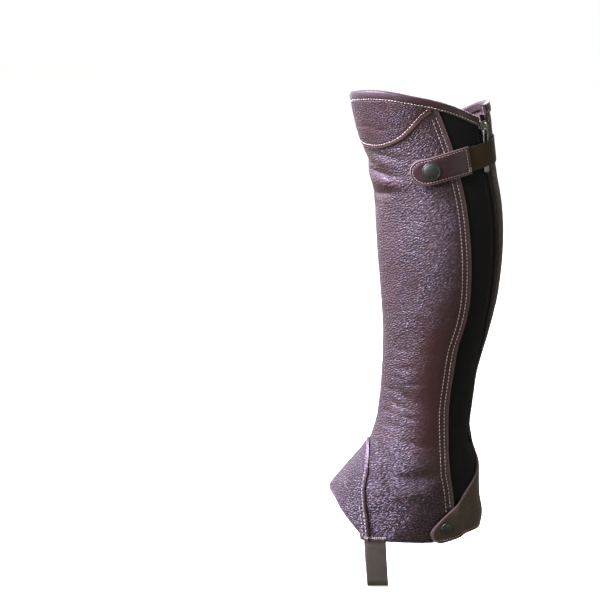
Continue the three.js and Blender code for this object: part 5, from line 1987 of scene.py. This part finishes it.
@dataclass
class Studio:
    """Plain pale floor, soft light and the camera. Places are in metres."""

    floor_level: float = -0.3513
    sun_power: float = 0.95
    sun_width: float = 11.0
    sun_place: Place = (0.62, 0.46, 0.3)
    room_colour: Colour = (1.0, 0.97, 0.84)
    room_power: float = 0.23
    camera_place: Place = (0.1395, 2.46922, 0.32609)
    camera_target: Place = (0.1395, 0.0, -0.065)
    lens: float = 150.0
    lit: Place = (0.0, 0.0, -0.1)

    def floor(self) -> None:
        """Makes the floor, pale and almost even."""
        flat = bmesh.new()
        bmesh.ops.create_grid(flat, x_segments=2, y_segments=2, size=8.0)
        bmesh.ops.translate(flat, verts=flat.verts[:], vec=(0, 0, self.floor_level))
        mesh = bpy.data.meshes.new("floor")
        flat.to_mesh(mesh)
        flat.free()
        floor = into_scene("floor", mesh)
        g = Graph("pale_floor")
        tint = g.noise(g.add("TexCoord").outputs["Object"], 3.0)
        shades = {0: tint, 6: (0.9, 0.9, 0.9, 1.0), 7: (0.94, 0.94, 0.94, 1.0)}
        shade = g.add("Mix", shades, data_type="RGBA").outputs[2]
        g.surface(
            shade, 0.9, g.bump(tint, 0.02), Specular_IOR_Level=0.1,
            Emission_Color=(1.0, 1.0, 1.0, 1.0), Emission_Strength=0.7,
        )
        mesh.materials.append(g.material)
        floor.visible_diffuse = floor.visible_glossy = False

    def lamp(
        self, name: str, place: Place, size: float, power: float, colour: Colour = (1.0, 1.0, 1.0)
    ) -> None:
        """Hangs a square soft light that shines at the chap.

        Args:
            name: its name.
            place: where it hangs.
            size: length of its sides.
            power: its power.
            colour: its colour.
        """
        light = bpy.data.lights.new(name, "AREA")
        light.size, light.energy, light.color = size, power, colour
        lamp = into_scene(name, light)
        lamp.location, lamp.rotation_euler = place, looking(place, self.lit)

    def sun(self) -> None:
        """Adds the weak low key from the toe side."""
        light = bpy.data.lights.new("key", "SUN")
        light.energy, light.angle = self.sun_power, math.radians(self.sun_width)
        light.color = (0.86, 0.94, 1.0)
        into_scene("key", light).rotation_euler = looking(self.sun_place, (0.0, 0.0, 0.0))

    def surroundings(self) -> None:
        """Gives the room an even pale light, with a white background."""
        world = bpy.data.worlds.new("room")
        bpy.context.scene.world = world
        world.use_nodes = True
        tree = world.node_tree
        tree.nodes.clear()
        choice = tree.nodes.new("ShaderNodeMixShader")
        shades = ((self.room_colour, self.room_power), ((1.0, 1.0, 1.0), 1.0))
        for number, (colour, power) in enumerate(shades, 1):
            shade = tree.nodes.new("ShaderNodeBackground")
            shade.inputs[0].default_value, shade.inputs[1].default_value = (*colour, 1.0), power
            tree.links.new(shade.outputs[0], choice.inputs[number])
        seen = tree.nodes.new("ShaderNodeLightPath").outputs["Is Camera Ray"]
        tree.links.new(seen, choice.inputs[0])
        tree.links.new(choice.outputs[0], tree.nodes.new("ShaderNodeOutputWorld").inputs[0])

    def camera(self) -> None:
        """Sets the long lens at a standing onlooker's angle."""
        lens = bpy.data.cameras.new("camera")
        lens.lens, lens.sensor_width, lens.clip_end = self.lens, 36.0, 50.0
        camera = into_scene("camera", lens)
        camera.location = self.camera_place
        camera.rotation_euler = looking(self.camera_place, self.camera_target)
        bpy.context.scene.camera = camera

    def build(self) -> None:
        """Sets up the whole studio."""
        self.floor()
        self.sun()
        for lamp in (
            ("toe_high", (1.5, 0.12, 1.45), 0.8, 222.0, (0.74, 0.7, 1.0)),
            ("toe_side", (1.8, 0.0, 0.5), 1.0, 28.0, (0.78, 0.83, 1.0)),
            ("knee_side", (0.5, 0.45, 0.35), 0.25, 3.0, (1.0, 0.82, 0.95)),
            ("toe_behind", (1.3, -1.7, 0.4), 1.6, 28.0, (0.9, 0.86, 1.0)),
            ("heel_side", (-1.8, 1.6, 0.5), 1.6, 9.0),
            ("behind", (-0.5, -1.9, 1.0), 1.0, 32.0),
        ):
            self.lamp(*lamp)
        self.surroundings()
        self.camera()
        bpy.context.scene.view_settings.view_transform = "Standard"


def main() -> None:
    """Builds the chap from its sub-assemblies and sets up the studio."""
    logging.basicConfig(level=logging.INFO, format="%(message)s")
    Shaft().build()
    TopBinding().build()
    ElasticPanel().build()
    Zip().build()
    KneeStrap().build()
    Snap("upper_snap", 86.5, 427.5, 9.0, 8.75).build()
    Snap("lower_snap", float(CALM.angle_at(-5.0, 67.5, Side.OUTSIDE)), 67.5, 7.2, 8.15).build()
    Stirrup().build()
    Studio().build()


if __name__ == "__main__":
    main()
